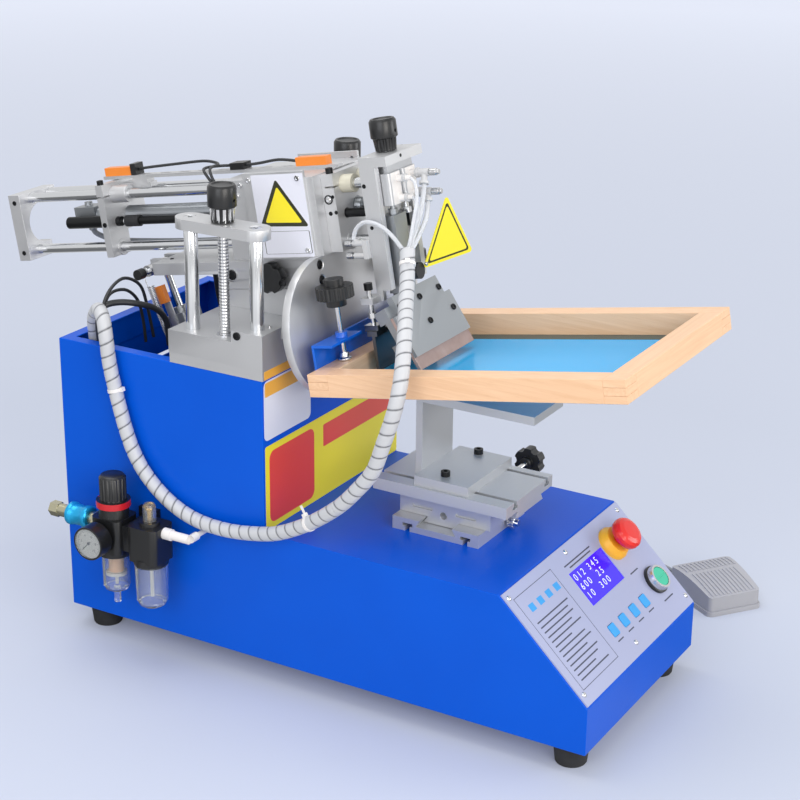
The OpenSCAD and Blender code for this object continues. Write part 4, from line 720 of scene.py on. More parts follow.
# Printing on the film: the thin frame of the notes' field, ruled lines in place of its words,
# and small blue squares over them. Plain numbers stand on the display.
ink_dark = made_of("dark_screen_ink", "#3b3f55", Roughness=0.5)[0]
ink_blue = made_of("blue_screen_ink", "#2f9be0", Roughness=0.45)[0]
ink_pale, tree, shader = made_of("pale_display_pixels", "#dfe4ff", Roughness=0.4)
shader.inputs["Emission Color"].default_value = colour("#cdd6ff")
shader.inputs["Emission Strength"].default_value = 0.3


def ink_strip(mesh, x0, w0, x1, w1, height, index, thick=0.06):
    """A patch of ink on the slope, by its x and its distance down the slope."""
    verts = block(mesh, (x0, -w1, height), (x1, -w0, height + thick))
    for face in {f for v in verts for f in v.link_faces}:
        face.material_index = index


printing = bmesh.new()
for x0, w0, x1, w1 in ((-136, 14, -46, 14.7), (-136, 136.3, -46, 137), (-136, 14, -135.3, 137),
                       (-46.7, 14, -46, 137)):
    ink_strip(printing, x0, w0, x1, w1, 2.0, 0)
for i in range(4):
    ink_strip(printing, -122 + i * 20, 29, -111 + i * 20, 38, 2.0, 1)
for i in range(13):
    span_ = (74, 66, 70, 58, 72, 40, 64, 70, 52, 68, 60, 46, 70)[i]
    ink_strip(printing, -128, 50 + i * 6.4, -128 + span_, 51.6 + i * 6.4, 2.0, 0)
for x0, x1, w0 in ((-22, 44, 22), (-14, 40, 26.5), (76, 96, 78), (98, 122, 128)):
    ink_strip(printing, x0, w0, x1, w0 + 1.6, 2.0, 0)
for i in range(4):
    ink_strip(printing, -28 + i * 28.5, 124.5, -14 + i * 28.5, 126, 2.0, 0)
settle(printing, "panel_printing", "base", [ink_dark, ink_blue], SLOPE)


def numerals(name, words, x, w, height, size, material, place=SLOPE):
    """Plain numbers in Blender's own sans letters, cut as thin raised ink."""
    data = bpy.data.curves.new(name, "FONT")
    data.body = words
    data.size = size
    data.extrude = 0.03
    data.space_line = 1.05
    text = bpy.data.objects.new(name, data)
    bpy.context.scene.collection.objects.link(text)
    bpy.context.view_layer.update()
    flat = bpy.data.meshes.new_from_object(text)
    bpy.data.objects.remove(text)
    flat.transform(place @ Matrix.Translation((x, -w, height)))
    flat.materials.clear()
    flat.materials.append(material)
    made = bpy.data.objects.new(name, flat)
    bpy.context.scene.collection.objects.link(made)
    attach(made, "base")


numerals("display_numbers", "0 1 2   3 4 5\n6 0 0     2 5\n1 0     3 0 0", -18, 44, 1.05, 12,
         ink_pale)

panel_screws = bmesh.new()
for x, w in ((-141, 10), (-2, 10.5), (139, 11), (142, 141), (-1, 139.5), (-140, 140.5)):
    turned(panel_screws, [(0, 1.7), (1.6, 1.6), (2.9, 0.9), (3.4, 0), (3.4, -0.5)],
           (x, -w, 2), (0, 0, 1), 24)
    for turn in (0.4, 0.4 + pi / 2):
        slotted = Matrix.Translation((x, -w, 2)) @ Matrix.Rotation(turn, 4, "Z")
        block(panel_screws, (-1.9, -0.3, 1.35), (1.9, 0.3, 1.78), slotted)
settle(panel_screws, "panel_screws", "base", nickel, SLOPE)

# Mushroom stop: a red moulded cap with a shallow dish and three arrow ridges on its crown
stop_red = made_of("red_moulded_nylon", "#e3231b", Roughness=0.25, Coat_Weight=0.3,
                   Coat_Roughness=0.12)[0]
dress("estop_button", stop_red)
white_mould = made_of("white_moulded_plastic", "#e9e6e4", Roughness=0.4)[0]
arrows = bmesh.new()
for i in range(3):
    ring = []
    for k in range(11):
        a = radians(i * 120 + 8 * k)
        ring.append((cos(a), sin(a)))
    for (c0, s0), (c1, s1) in zip(ring, ring[1:]):
        quad = [arrows.verts.new((r * c, r * s, h)) for r, c, s, h in (
            (10.2, c0, s0, 36.25), (12.2, c0, s0, 35.95), (12.2, c1, s1, 35.95),
            (10.2, c1, s1, 36.25))]
        arrows.faces.new(quad)
bmesh.ops.remove_doubles(arrows, verts=arrows.verts, dist=0.01)
grown = bmesh.ops.extrude_face_region(arrows, geom=arrows.faces[:])["geom"]
bmesh.ops.translate(arrows, vec=(0, 0, -0.8),
                    verts=[v for v in grown if isinstance(v, bmesh.types.BMVert)])
settle(arrows, "stop_button_arrows", "estop", white_mould,
       SLOPE @ Matrix.Translation((84, -38, 0)))

# White ties round the spiral hose: under the head, at its lowest point and behind the knobs.
for name, at, tail, length in (("hose_tie_rear", 76, 0, 0), ("hose_tie_low", 180, 13, 1),
                               ("hose_tie_front", 306, 0, 2)):
    tie = bmesh.new()
    turned(tie, [(8.3, -1.9), (9.3, -1.9), (9.3, 1.9), (8.3, 1.9), (8.3, -1.9)],
           (0, 0, 0), (0, 0, 1), 32)
    block(tie, (8.6, -2.6, -2.4), (12.6, 2.6, 2.4))
    if tail:
        block(tie, (9, -1, -1.6), (9 + tail, -0.2, 1.6))
    along = (hose_line[at + 1] - hose_line[at - 1]).to_track_quat("Z", "X").to_matrix().to_4x4()
    made = settle(tie, name, None, white_mould,
                  Matrix.Translation(hose_line[at]) @ along @ MM)
    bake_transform(made)

# Start switch: a green lens in a plated bezel on a black seat
lens_green = made_of("green_moulded_lens", "#2fbf9a", Roughness=0.2, Coat_Weight=0.5,
                     Coat_Roughness=0.08)[0]
dress("start_button", lens_green, edge=0.5)
seat = bmesh.new()
turned(seat, [(13, 2.0), (17.6, 2.0), (17.6, 5.5), (16.4, 6.2), (13, 6.2)],
       (109, -103, 0), (0, 0, 1))
settle(seat, "start_switch_seat", "base", phenolic, SLOPE)

# Keys: sky blue caps that stand just above the film, each with a dark edge
key_blue = made_of("sky_blue_key", "#2fa0e6", Roughness=0.3)[0]
for i in range(4):
    dress(f"key_{i + 1}", key_blue, edge=0.4)

# Height adjuster: a fixed plate on the roof, a thick moving plate on four ground pillars, and
# two bridges in which the height screws turn. The plates are milled aluminium, blasted and
# clear anodised; the nuts are plated steel.
anodised, tree, shader = made_of("clear_anodised_aluminium", "#cdced0", Roughness=0.38,
                                 Metallic=0.75)
spots = add(tree, "TexCoord").outputs["Object"]
blast = add(tree, "TexNoise", {"Vector": spots, "Scale": 1600.0, "Detail": 2.0})
haze = add(tree, "TexNoise", {"Vector": spots, "Scale": 22.0, "Detail": 3.0})
dull = add(tree, "MapRange", {"Value": haze.outputs["Fac"], "From Min": 0.3, "From Max": 0.7,
                              "To Min": 0.37, "To Max": 0.48})
tree.links.new(dull.outputs[0], shader.inputs["Roughness"])
bump = add(tree, "Bump", {"Height": blast.outputs["Fac"], "Strength": 0.12, "Distance": 0.0002})
tree.links.new(bump.outputs[0], shader.inputs["Normal"])

chromed, tree, shader = made_of("hard_chromed_shaft", "#dcdee0", Roughness=0.1, Metallic=1.0)
polish = add(tree, "TexNoise", {"Vector": add(tree, "TexCoord").outputs["Object"],
                                "Scale": 90.0, "Detail": 3.0})
dull = add(tree, "MapRange", {"Value": polish.outputs["Fac"], "To Min": 0.07, "To Max": 0.16})
tree.links.new(dull.outputs[0], shader.inputs["Roughness"])

brass = grained(made_of("turned_brass", "#c79a45", Roughness=0.22, Metallic=1.0),
                500, 0.1, 0.0002, Detail=1.0)

# Screw thread: cut in nickel-plated steel at 3 mm pitch, drawn as rings across the screw
threaded, tree, shader = made_of("nickel_screw_thread", "#cdced0", Roughness=0.2, Metallic=1.0)
rings = add(tree, "TexWave", {"Vector": add(tree, "TexCoord").outputs["Object"],
                              "Scale": 167.0 / 2}, bands_direction="Z", wave_profile="TRI")
bump = add(tree, "Bump", {"Height": rings.outputs["Fac"], "Strength": 0.5, "Distance": 0.0012})
tree.links.new(bump.outputs[0], shader.inputs["Normal"])

blacked = grained(made_of("blacked_steel", "#222325", Roughness=0.34, Metallic=0.7),
                  350, 0.1, 0.0002, Detail=2.0)

dress("base_plate", anodised, edge=0.5)
dress("guide_pillars", chromed, edge=0.2)
dress("bridge_plates", anodised, edge=0.5)


def lift_finish(spot, out):
    if spot.z > 390.55 and hypot(abs(spot.x) - 131, spot.y - 62.5) < 10.2:
        return 1
    if hypot(spot.y - 183.5, spot.z - 264) < 4.05 and (abs(spot.x) > 19.1 or abs(spot.x) < 10.9):
        return 2
    return 0


carry("lift_plate", [anodised, nickel, chromed], lift_finish, edge=0.6)
dress("pedestal", anodised, edge=0.5)
shaft_ends = bmesh.new()
for s in (-1, 1):
    turned(shaft_ends, [(0, 0.2), (1.2, 0.2), (1.8, 1.0), (6.0, 1.0), (6.7, 0.3), (6.7, -0.5)],
           (s * 52.4, 8.2, 441.8), (s, 0, 0), 40)
settle(shaft_ends, "tilt_shaft_ends", "lift", chromed)


def screw_knob(spot, out):
    if spot.z < 523.4:
        return 1
    return 2 if spot.z < 539.6 and hypot(abs(spot.x) - 131, spot.y - 62.5) > 13.2 else 0


for side in ("left", "right"):
    carry(side + "_height_knob", [phenolic, threaded, nickel], screw_knob,
          edge=0.5)

# Socket screws: blacked steel, in the plates' tops and faces
screws("lift_plate_screws", "lift", blacked, CABINET,
       [((x, y, 402.5), (0, 0, 1), 5, 1.5) for x in (-46.5, 46.5) for y in (2, 16)]
       + [((s * 150, 33, 399), (s, 0, 0), 9.5, 1.2) for s in (-1, 1)])
screws("lift_block_pins", "lift", nickel, CABINET,
       [((s * 119, 9.6, 404.5), (0, 0, 1), 4.5, 0.8) for s in (-1, 1)])

# Tilting head: the beam, the housing round the rods with its covers, the bearing plates and
# the round-ended faceplate are milled, blasted and anodised as the plates below them.
for node in ("rod_housing", "bearing_plates"):
    dress(node, anodised, edge=0.5)


def beam_finish(spot, out):
    if spot.x < -42.9:
        return 2
    held = hypot(spot.y - 246, spot.z - 24) < 4.05
    return 1 if held and (abs(spot.x) > 18.05 or abs(spot.x) < 9.95) else 0


carry("tilt_beam", [anodised, chromed, phenolic], beam_finish, HEAD,
      edge=0.5)
dress("faceplate", anodised, edge=0.7)
dress("beam_knob", phenolic, edge=0.6)
cream = grained(made_of("cream_bearing_seal", "#d3cfbd", Roughness=0.4, Metallic=0.25),
                200, 0.06, 0.0003, Detail=2.0)
carry("guide_bushes", [anodised, cream],
      lambda spot, out: 1 if spot.y < 0 and spot.z > 100 else 0, HEAD, edge=0.4)
barrel_grey, tree, shader = made_of("grey_anodised_barrel", "#9a9ea2", Roughness=0.34,
                                    Metallic=0.7)
drawn = add(tree, "TexNoise", {"Vector": add(tree, "Mapping", {
    "Vector": add(tree, "TexCoord").outputs["Object"], "Scale": (900, 30, 900)}).outputs[0],
    "Scale": 1.0, "Detail": 2.0})
bump = add(tree, "Bump", {"Height": drawn.outputs["Fac"], "Strength": 0.1, "Distance": 0.0002})
tree.links.new(bump.outputs[0], shader.inputs["Normal"])
dress("print_cylinder", barrel_grey, edge=0.5)
orange = grained(made_of("orange_sensor_case", "#f08a32", Roughness=0.35), 700, 0.08, 0.0002)


def rail_finish(spot, out):
    if spot.z < 138.01:
        return 0
    if 257.9 < spot.y < 265.9 or 95 < spot.y < 117:
        return 2
    return 1


carry("sensor_rail", [anodised, orange, phenolic], rail_finish, HEAD,
      edge=0.4)
dress("shock_absorber", blacked)
dress("shock_plunger", chromed)

# Screws of the head: blacked clamp, set and flange screws, and plated ones in the covers. A
# ring of blacked steel stands round the front bearing's screw and a collar on the arm's pin.
UP, LEFT, AHEAD = (0, 0, 1), (-1, 0, 0), (0, -1, 0)
screws("head_black_screws", "head", blacked, HEAD, [
    ((-35, -41, 133), UP, 8.5, 6), ((-35, 294, 133), UP, 8, 5), ((-40, -38, 88), LEFT, 5, 0.25),
    ((-40, -45.5, 89), LEFT, 4.5, 0.25), ((-40, -44, 107), LEFT, 4, 0.25),
    ((-40, 294, 84), LEFT, 6, 0.8), ((-17.7, 218, 35), UP, 5, 0.6), ((-40, 114, 19), LEFT, 12, 1.6),
    ((-56, 80, 129.5), LEFT, 3.8, 0.25)]
    + [((s * 60, -25.4, b), AHEAD, 10, 1.2) for s in (-1, 1) for b in (16.5, 34)])
screws("head_cover_screws", "head", nickel, HEAD,
       [((-56, 69.5, 128), LEFT, 6, 1.6), ((-56, 76, 116), LEFT, 6, 1.6),
        ((-40, -38, 104), LEFT, 6.5, 1.2)]
       + [((s * 60, a, b), (s, 0, 0), 6.5, 1.8)
          for s in (-1, 1) for a in (-14, 54) for b in (51, 134)])
rings = bmesh.new()
turned(rings, [(4.2, -0.2), (5.4, -0.2), (5.4, 0.9), (4.2, 0.9), (4.2, -0.2)],
       (-40, -38, 104), LEFT)
settle(rings, "front_bearing_ring", "head", blacked, HEAD)
rings = bmesh.new()
turned(rings, [(6.4, -0.2), (7.6, -0.2), (7.6, 0.9), (6.4, 0.9), (6.4, -0.2)], (-40, 114, 19), LEFT)
turned(rings, [(4.2, 0), (7, 0), (7, 9), (4.2, 9), (4.2, 0)], (-25, 246, 24), LEFT)
settle(rings, "beam_side_rings", "head", nickel, HEAD)

# Blue holder: folded and welded sheet in a deeper blue enamel, with the clamp screws' nuts
deep_enamel = grained(made_of("deep_blue_stoved_enamel", "#0560d0", Roughness=0.28,
                              Specular_IOR_Level=0.5),
                      420, 0.1, 0.0006)
dress("frame_holder", deep_enamel, edge=0.5)


def wheel_finish(spot, out):
    stem = hypot(abs(spot.x) - 82, spot.y + 56) < 3.05 and abs(out.z) < 0.5
    return 1 if stem or spot.z < -8.5 else 0


for side in ("left", "right"):
    carry(side + "_clamp_wheel", [phenolic, nickel], wheel_finish, HEAD, edge=0.5)
    dress(side + "_clamp_pad", nickel, edge=0.3)

# Screen: four beech rails, glued with comb joints at the corners and clear lacquered. The
# mesh is stretched and glued under them, coated with a glossy bright blue film.


def beech_along(name, scale):
    """Clear-lacquered beech with its grain along one axis: pores and flecks are stretched."""
    wood, tree, shader = made_of(name, "#f1c8a2", Roughness=0.42, Coat_Weight=0.15,
                                 Coat_Roughness=0.3)
    spots = add(tree, "TexCoord").outputs["Object"]
    turned_ = add(tree, "Mapping", {"Vector": spots, "Rotation": (radians(10), 0, 0),
                                    "Scale": scale}).outputs[0]
    bands = add(tree, "TexNoise", {"Vector": turned_, "Scale": 1.0, "Detail": 5.0,
                                   "Roughness": 0.6, "Distortion": 0.6})
    fleck = add(tree, "TexNoise", {"Vector": turned_, "Scale": 7.0, "Detail": 2.0})
    ramp = add(tree, "ValToRGB", {"Fac": bands.outputs["Fac"]})
    ramp.color_ramp.elements[0].position, ramp.color_ramp.elements[0].color = 0.3, colour("#e6ba92")
    ramp.color_ramp.elements[1].position, ramp.color_ramp.elements[1].color = 0.7, colour("#f3cba6")
    pores = add(tree, "MapRange", {"Value": fleck.outputs["Fac"], "From Min": 0.62,
                                   "From Max": 0.72})
    tone = add(tree, "MixRGB", {"Fac": pores.outputs[0], "Color1": ramp.outputs[0],
                                "Color2": colour("#dcae86")})
    soft = add(tree, "MixRGB", {"Fac": 0.55, "Color1": ramp.outputs[0], "Color2": tone.outputs[0]})
    tree.links.new(soft.outputs[0], shader.inputs["Base Color"])
    bump = add(tree, "Bump", {"Height": bands.outputs["Fac"], "Strength": 0.06,
                              "Distance": 0.0004})
    tree.links.new(bump.outputs[0], shader.inputs["Normal"])
    return wood


rails_lengthwise = beech_along("lacquered_beech_lengthwise", (240, 9, 240))
rails_across = beech_along("lacquered_beech_across", (9, 240, 240))
HALF_W, RAIL, TOP, LOW, FAR, NEAR = 142, 26, -71.2, -97.2, -43, -429
comb = (TOP - LOW) / 3
for name, x0, x1 in (("screen_rail_left", -HALF_W, RAIL - HALF_W),
                     ("screen_rail_right", HALF_W - RAIL, HALF_W)):
    rail = bmesh.new()
    block(rail, (x0, NEAR + RAIL, LOW), (x1, FAR - RAIL, TOP))
    for y0, y1 in ((NEAR, NEAR + RAIL), (FAR - RAIL, FAR)):
        block(rail, (x0, y0, LOW), (x1, y1, LOW + comb - 0.12))
        block(rail, (x0, y0, TOP - comb + 0.12), (x1, y1, TOP))
    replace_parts(settle(rail, name, "head", rails_lengthwise, HEAD, edge=0.5),
                "screen_frame")
for name, y0, y1 in (("screen_rail_front", NEAR, NEAR + RAIL),
                     ("screen_rail_rear", FAR - RAIL, FAR)):
    rail = bmesh.new()
    block(rail, (RAIL - HALF_W + 0.12, y0, LOW), (HALF_W - RAIL - 0.12, y1, TOP))
    for x0, x1 in ((-HALF_W, RAIL - HALF_W + 0.12), (HALF_W - RAIL - 0.12, HALF_W)):
        block(rail, (x0, y0, LOW + comb), (x1, y1, TOP - comb))
    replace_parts(settle(rail, name, "head", rails_across, HEAD, edge=0.4),
                "screen_frame")

coated_mesh, tree, shader = made_of("blue_coated_mesh", "#0aaef0", Roughness=0.18,
                                    Specular_IOR_Level=0.35)
spots = add(tree, "Mapping", {"Vector": add(tree, "TexCoord").outputs["Object"],
                              "Rotation": (radians(10), 0, 0)}).outputs[0]
weave = add(tree, "TexWave", {"Vector": spots, "Scale": 320.0}, bands_direction="X")
weft = add(tree, "TexWave", {"Vector": spots, "Scale": 320.0}, bands_direction="Y")
cloth = add(tree, "Math", {0: weave.outputs["Fac"], 1: weft.outputs["Fac"]}, operation="MULTIPLY")
bump = add(tree, "Bump", {"Height": cloth.outputs[0], "Strength": 0.05, "Distance": 0.0002})
tree.links.new(bump.outputs[0], shader.inputs["Normal"])
dress("screen_mesh", coated_mesh)

# Painted shade along the right-hand rail: a thin dark teal strip on the coating stands in for the
# rail's shadow and reflection on the mesh
painted_rail_shade = grained(made_of("dark_teal_stencil_edge", "#07454c", Roughness=0.2),
                       300, 0.04, 0.0002)
rail_shade_strip = bmesh.new()
block(rail_shade_strip, (97, -402.8, LOW - 0.02), (115.9, -69.2, LOW + 0.15))
settle(rail_shade_strip, "painted_rail_shade", "head", painted_rail_shade, HEAD)

# Print carriage: three chromed guide rods and a blacked stop rod between the rear end plate
# and the head plate. The head plate is a milled channel that holds two flat air cylinders.


def rod_finish(spot, out):
    if hypot(spot.x + 20, spot.z - 84.5) < 7.2:
        return 2 if spot.y > 253 else 1
    return 0


carry("carriage_rods", [chromed, blacked, rubber], rod_finish, HEAD)
dress("rear_end_plate", anodised, edge=0.5)
dress("head_plate", anodised, edge=0.5)
pale_anodised = grained(made_of("pale_anodised_cylinder", "#c2c4c7", Roughness=0.3, Metallic=0.85),
                        900, 0.08, 0.0002)


def head_cylinder_finish(spot, out):
    return 1 if spot.y < -115.3 else 0


carry("head_cylinders", [pale_anodised, white_mould], head_cylinder_finish,
      HEAD, edge=0.4)
carry("head_knob", [phenolic, nickel],
      lambda spot, out: 0 if spot.z > 149.9 else 1, HEAD, edge=0.5)

# Air fittings of the carriage: two speed controllers in front with white swivel elbows, and a
# pair on a white block at the left that point rearward. Their tips are knurled and plated.
elbows, tips = bmesh.new(), bmesh.new()
for b, out in ((120, (10, -135, 109)), (98, (13, -135, 89))):
    drum(elbows, (16, -123.9, b), (16, -140, b), 4.6)
    drum(elbows, (16, -123.5, b), (16, -127, b), 5.8)
    drum(elbows, (16, -134, b), out, 3.6)
    down = (Vector(out) - Vector((16, -134, b))).normalized()
    drum(elbows, Vector(out) - down * 2, Vector(out) + down * 1.5, 5.6)
    drum(tips, (16, -139, b), (16, -143, b), 2.4)
    drum(tips, (16, -142, b), (16, -150, b), 4.1, sides=18)
    drum(tips, (16, -149, b), (16, -153, b), 3)
for b in (98, 120):
    drum(elbows, (-13, -123.5, b), (-13, -127, b), 5)
block(elbows, (-47, -84, 36), (-40, -78, 58))
for b in (40, 54):
    drum(elbows, (-44, -78, b), (-44, -65, b), 3.6)
    drum(tips, (-44, -66, b), (-44, -62, b), 2.2)
    drum(tips, (-44, -63, b), (-44, -55, b), 3.8, sides=18)
drum(elbows, (-44, -69, b - 1), (-44, -69, b + 5), 3.6)
grey_mould = made_of("pale_grey_moulded_plastic", "#c4c5c7", Roughness=0.35)[0]
settle(elbows, "throttle_bodies", "carriage", grey_mould, HEAD, edge=0.3)
settle(tips, "throttle_tips", "carriage", nickel, HEAD, edge=0.3)
screws("carriage_screws", "carriage", blacked, HEAD, [
    ((-40, -87.5, 117.2), LEFT, 5, 0.3), ((-40, -90, 70), LEFT, 4.5, 0.3),
    ((-7, -120, 144.5), AHEAD, 4, 0.2), ((-40, 434, 116), LEFT, 6, 0.5),
    ((-40, 434, 52), LEFT, 6, 0.5)])

# Squeegee and flood bar: the leaning clamp grips a brown polyurethane strip; the flood bar
# is a thin blade of dark spring steel on its own slide.


def holder_finish(spot, out):
    return 1 if hypot(spot.x + 5, spot.z - 12) < 9.7 and spot.y < -112.05 else 0


carry("squeegee_holder", [barrel_grey, phenolic], holder_finish, HEAD,
      edge=0.4)
LEAN = (HEAD @ Matrix.Translation((0, -113, 2)) @ Matrix.Rotation(radians(-25), 4, "X"))
screws("squeegee_screws", "squeegee", blacked, LEAN,
       [((x, 8, z), AHEAD, 7.5, 1.4) for x, z in ((-55, -48.5), (-4, -49.8), (51, -48.5),
                                                  (-44, -20), (0, -20), (44, -20))])

# Yellow triangle plate on the lock knob: thin sheet with a dark line printed round it, bare
tag_x = Vector((80.2, -144.1, 13.7)) - Vector((-0.7, -126, 13.8))
tag_up = (Vector((37.1, -147.6, 89.9)) - Vector((39.7, -135, 13.7))).normalized()
tag_x.normalize()
tag_out = tag_x.cross(tag_up)
TAG = HEAD @ Matrix((tag_x, -tag_out, tag_up)).transposed().to_4x4()
TAG.translation = HEAD @ Vector((39.7, -135, 13.7))
tag = bmesh.new()
tag_shape = [(-42.5, 0), (42.5, 0), (-2.5, 77)]
film(tag, tag_shape, 3, 0.5, -1, 0)
film(tag, drawn_in(tag_shape, 0.86), 2.5, -0.5, -0.08, 1)
film(tag, drawn_in(tag_shape, 0.77), 2, -0.58, -0.08, 0)
settle(tag, "squeegee_tag", "squeegee", [yellow_film, dark_film], TAG)
screws("squeegee_tag_screw", "squeegee", nickel, HEAD,
       [((2.5, -127.2, 18), AHEAD, 5, 1.6)])

strip, tree, shader = made_of("brown_polyurethane_strip", "#a98d84", Roughness=0.22,
                              Metallic=0.35)
flow = add(tree, "TexNoise", {"Vector": add(tree, "TexCoord").outputs["Object"],
                              "Scale": 60.0, "Detail": 3.0})
tone = add(tree, "MixRGB", {"Fac": flow.outputs["Fac"], "Color1": colour("#93766d"),
                            "Color2": colour("#bfa9a2")})
tree.links.new(tone.outputs[0], shader.inputs["Base Color"])
dress("squeegee_blade", strip, edge=0.3)
spring_steel, tree, shader = made_of("dark_spring_steel", "#6d7074", Roughness=0.28, Metallic=1.0)
ground = add(tree, "TexNoise", {"Vector": add(tree, "Mapping", {
    "Vector": add(tree, "TexCoord").outputs["Object"], "Scale": (40, 1200, 1200)}).outputs[0],
    "Scale": 1.0, "Detail": 2.0})
bump = add(tree, "Bump", {"Height": ground.outputs["Fac"], "Strength": 0.15, "Distance": 0.0002})
tree.links.new(bump.outputs[0], shader.inputs["Normal"])


def flood_finish(spot, out):
    if hypot(spot.x + 50, spot.y + 80) < 5.2:
        return 2 if spot.z > 1.4 else 1
    return 1 if hypot(spot.x - 16, spot.y + 104) < 5.9 else 0


carry("flood_bar", [spring_steel, nickel, blacked], flood_finish, HEAD, edge=0.3)

# Tilt cylinder: swings behind the lift plate, with an orange position sensor on its side
carry("tilt_cylinder", [barrel_grey, orange, anodised],
      lambda spot, out: 1 if spot.x < -20.01 else (2 if spot.x < -18.01 else 0), edge=0.4)
dress("tilt_rod", chromed, edge=0.3)

# Return spring beside the cylinder, hooked on its two pins
foot = Vector((-38, 183.5, 264))
up, over = Vector((0, 0.3938, 0.9192)), Vector((0, 0.9192, -0.3938))
line = [foot - up * 4.8 * sin(pi - pi * k / 10) + over * 4.8 * cos(pi - pi * k / 10)
        for k in range(11)]
line.append(foot + up * 10 + over * 4.6)
for k in range(63 * 12 + 1):
    turn = 2 * pi * k / 12
    line.append(foot + up * (18 + 124 * k / 756) + 4.3 * (cos(turn) * over
                                                          + sin(turn) * Vector((1, 0, 0))))
line.append(foot + up * 150 + over * 4.6)
line += [foot + up * (159.9 + 4.8 * sin(pi * k / 10)) + over * 4.8 * cos(pi * k / 10)
         for k in range(11)]
coil = bmesh.new()
bent_wire(coil, line, 0.6)
coil = settle(coil, "return_spring", None, nickel, sharp=60)
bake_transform(coil)

# Work stage: dovetailed blocks of ground tool steel under a slotted table, and the flat
# platen on its upright. The grinding leaves fine lines across each block.
ground_steel, tree, shader = made_of("ground_tool_steel", "#c6c8cb", Roughness=0.38,
                                     Metallic=0.6)
lines = add(tree, "TexNoise", {"Vector": add(tree, "Mapping", {
    "Vector": add(tree, "TexCoord").outputs["Object"], "Scale": (30, 1500, 900)}).outputs[0],
    "Scale": 1.0, "Detail": 2.0})
dull = add(tree, "MapRange", {"Value": lines.outputs["Fac"], "To Min": 0.32, "To Max": 0.46})
tree.links.new(dull.outputs[0], shader.inputs["Roughness"])
bump = add(tree, "Bump", {"Height": lines.outputs["Fac"], "Strength": 0.12, "Distance": 0.0002})
tree.links.new(bump.outputs[0], shader.inputs["Normal"])
for node in ("stage_base", "stage_slide", "stage_table"):
    dress(node, ground_steel, edge=0.5)


def platen_finish(spot, out):
    bolt = hypot(abs(spot.x - 4) - 40, spot.y + 174) < 5.7
    return 1 if bolt and 235.01 < spot.z < 242 else 0


carry("platen", [ground_steel, blacked], platen_finish, edge=0.4)
carry("stage_knob", [phenolic, nickel],
      lambda spot, out: 1 if spot.x < 83.9 else 0, edge=0.4)
dress("stage_thumb_screw", nickel, edge=0.2)

# Air service unit: black moulded bodies, clear bowls, a red-ringed knob, a pressure gauge
# with a white dial, and a blue sleeve valve on the plated inlet pipe.
dress("frl_body", phenolic, edge=0.8)
clear = grained(made_of("clear_polycarbonate", "#f2f6f7", Roughness=0.04, IOR=1.58,
                        Transmission_Weight=0.92),
                90, 0.03, 0.0005)
dress("frl_bowls", clear)
carry("pressure_gauge", [phenolic, brass],
      lambda spot, out: 1 if spot.x > -212.9 else 0, edge=0.4)
pipe_nickel = grained(made_of("yellowed_nickel_plate", "#b8b49a", Roughness=0.26, Metallic=0.9),
                      160, 0.08, 0.0002)
carry("air_fittings", [pipe_nickel, white_mould],
      lambda spot, out: 1 if spot.y < 125 else 0, edge=0.3)
# Inside the clear bowls: the filter's sintered element over a white baffle, the drain's tip,
# and the drip tube under the oiler's sight dome
sintered = grained(made_of("sintered_filter_element", "#f0b890", Roughness=0.8), 900, 0.3, 0.0004)
inside = bmesh.new()
drum(inside, (-187, 190, 87), (-187, 190, 109.5), 9)
settle(inside, "filter_element", "base", sintered)
inside = bmesh.new()
drum(inside, (-187, 190, 83), (-187, 190, 86.8), 12.6)
drum(inside, (-187, 190, 69), (-187, 190, 83), 2)
drum(inside, (-187, 137, 66), (-187, 137, 109), 2.2)
settle(inside, "bowl_baffle", "base", white_mould)
inside = bmesh.new()
drum(inside, (-187, 137, 163.2), (-187, 137, 180), 3.6)
drum(inside, (-187, 137, 178), (-187, 137, 180.5), 5)
settle(inside, "sight_dome_drip", "base", brass)

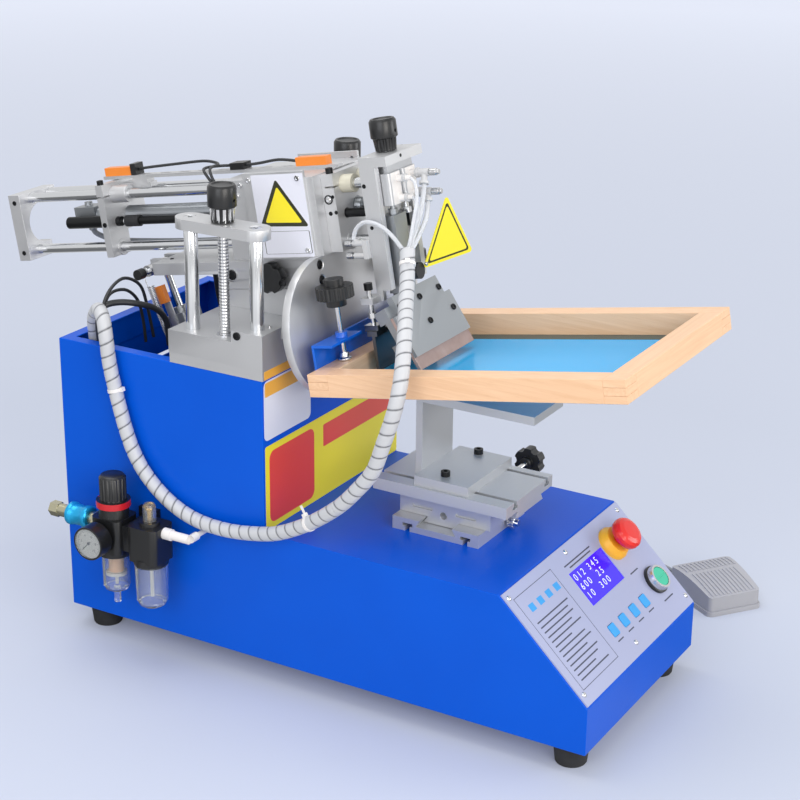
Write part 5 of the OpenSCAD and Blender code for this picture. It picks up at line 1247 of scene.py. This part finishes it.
# Gauge: a white dial with ticks, plain numbers and a needle at rest, behind its glass. Here z
# points out of the dial, to the left.
GAUGE = CABINET @ Matrix(((0, 0, -1, -230.4), (-1, 0, 0, 194), (0, 1, 0, 137), (0, 0, 0, 1)))
dial = bmesh.new()
turned(dial, [(0, 0.15), (18.3, 0.15), (18.3, -0.05), (0, -0.05)], (0, 0, 0), UP)
ink_at = len(dial.faces)
for i in range(51):
    block(dial, (13.4 if i % 5 == 0 else 14.9, -0.16, 0.1), (16.6, 0.16, 0.22),
          Matrix.Rotation(radians(225 - 5.4 * i), 4, "Z"))
block(dial, (-4, -0.45, 0.5), (12.5, 0.45, 0.7), Matrix.Rotation(radians(225), 4, "Z"))
drum(dial, (0, 0, 0), (0, 0, 1), 1.9)
dial.faces.ensure_lookup_table()
for face in dial.faces[ink_at:]:
    face.material_index = 1
settle(dial, "gauge_dial", "base", [white_mould, ink_dark], GAUGE)
for i, words in enumerate("0 2 4 6 8 10".split()):
    turn = radians(225 - 54 * i)
    numerals("gauge_number_" + words, words, 10.6 * cos(turn) - 1.3 * len(words),
             1.5 - 10.6 * sin(turn), 0.15, 4.4, ink_dark, GAUGE)
glass = bmesh.new()
turned(glass, [(0, 2.5), (18.4, 2.5), (18.4, 1.6), (0, 1.6)], (0, 0, 0), UP)
settle(glass, "gauge_glass", "base", clear, GAUGE)
sleeve_blue = grained(made_of("blue_anodised_sleeve", "#1fa5dc", Roughness=0.28, Metallic=0.5),
                      800, 0.1, 0.0003)
dress("valve_sleeve", sleeve_blue, edge=0.3)
ring_red = made_of("dark_red_moulded_ring", "#c8202b", Roughness=0.3)[0]
carry("regulator_knob", [phenolic, ring_red, nickel],
      lambda spot, out: 1 if 171.3 < spot.z < 179.5 and hypot(spot.x + 187, spot.y - 190) > 15.8
      else (2 if spot.z < 171.3 else 0))

# Foot switch: a ribbed grey treadle on a shallow moulded tray
pedal_grey = grained(made_of("grey_moulded_pedal", "#a9aab1", Roughness=0.5),
                     1100, 0.15, 0.0003, Detail=2.0)
dress("pedal_treadle", pedal_grey)
dress("pedal_base", pedal_grey, edge=0.4)
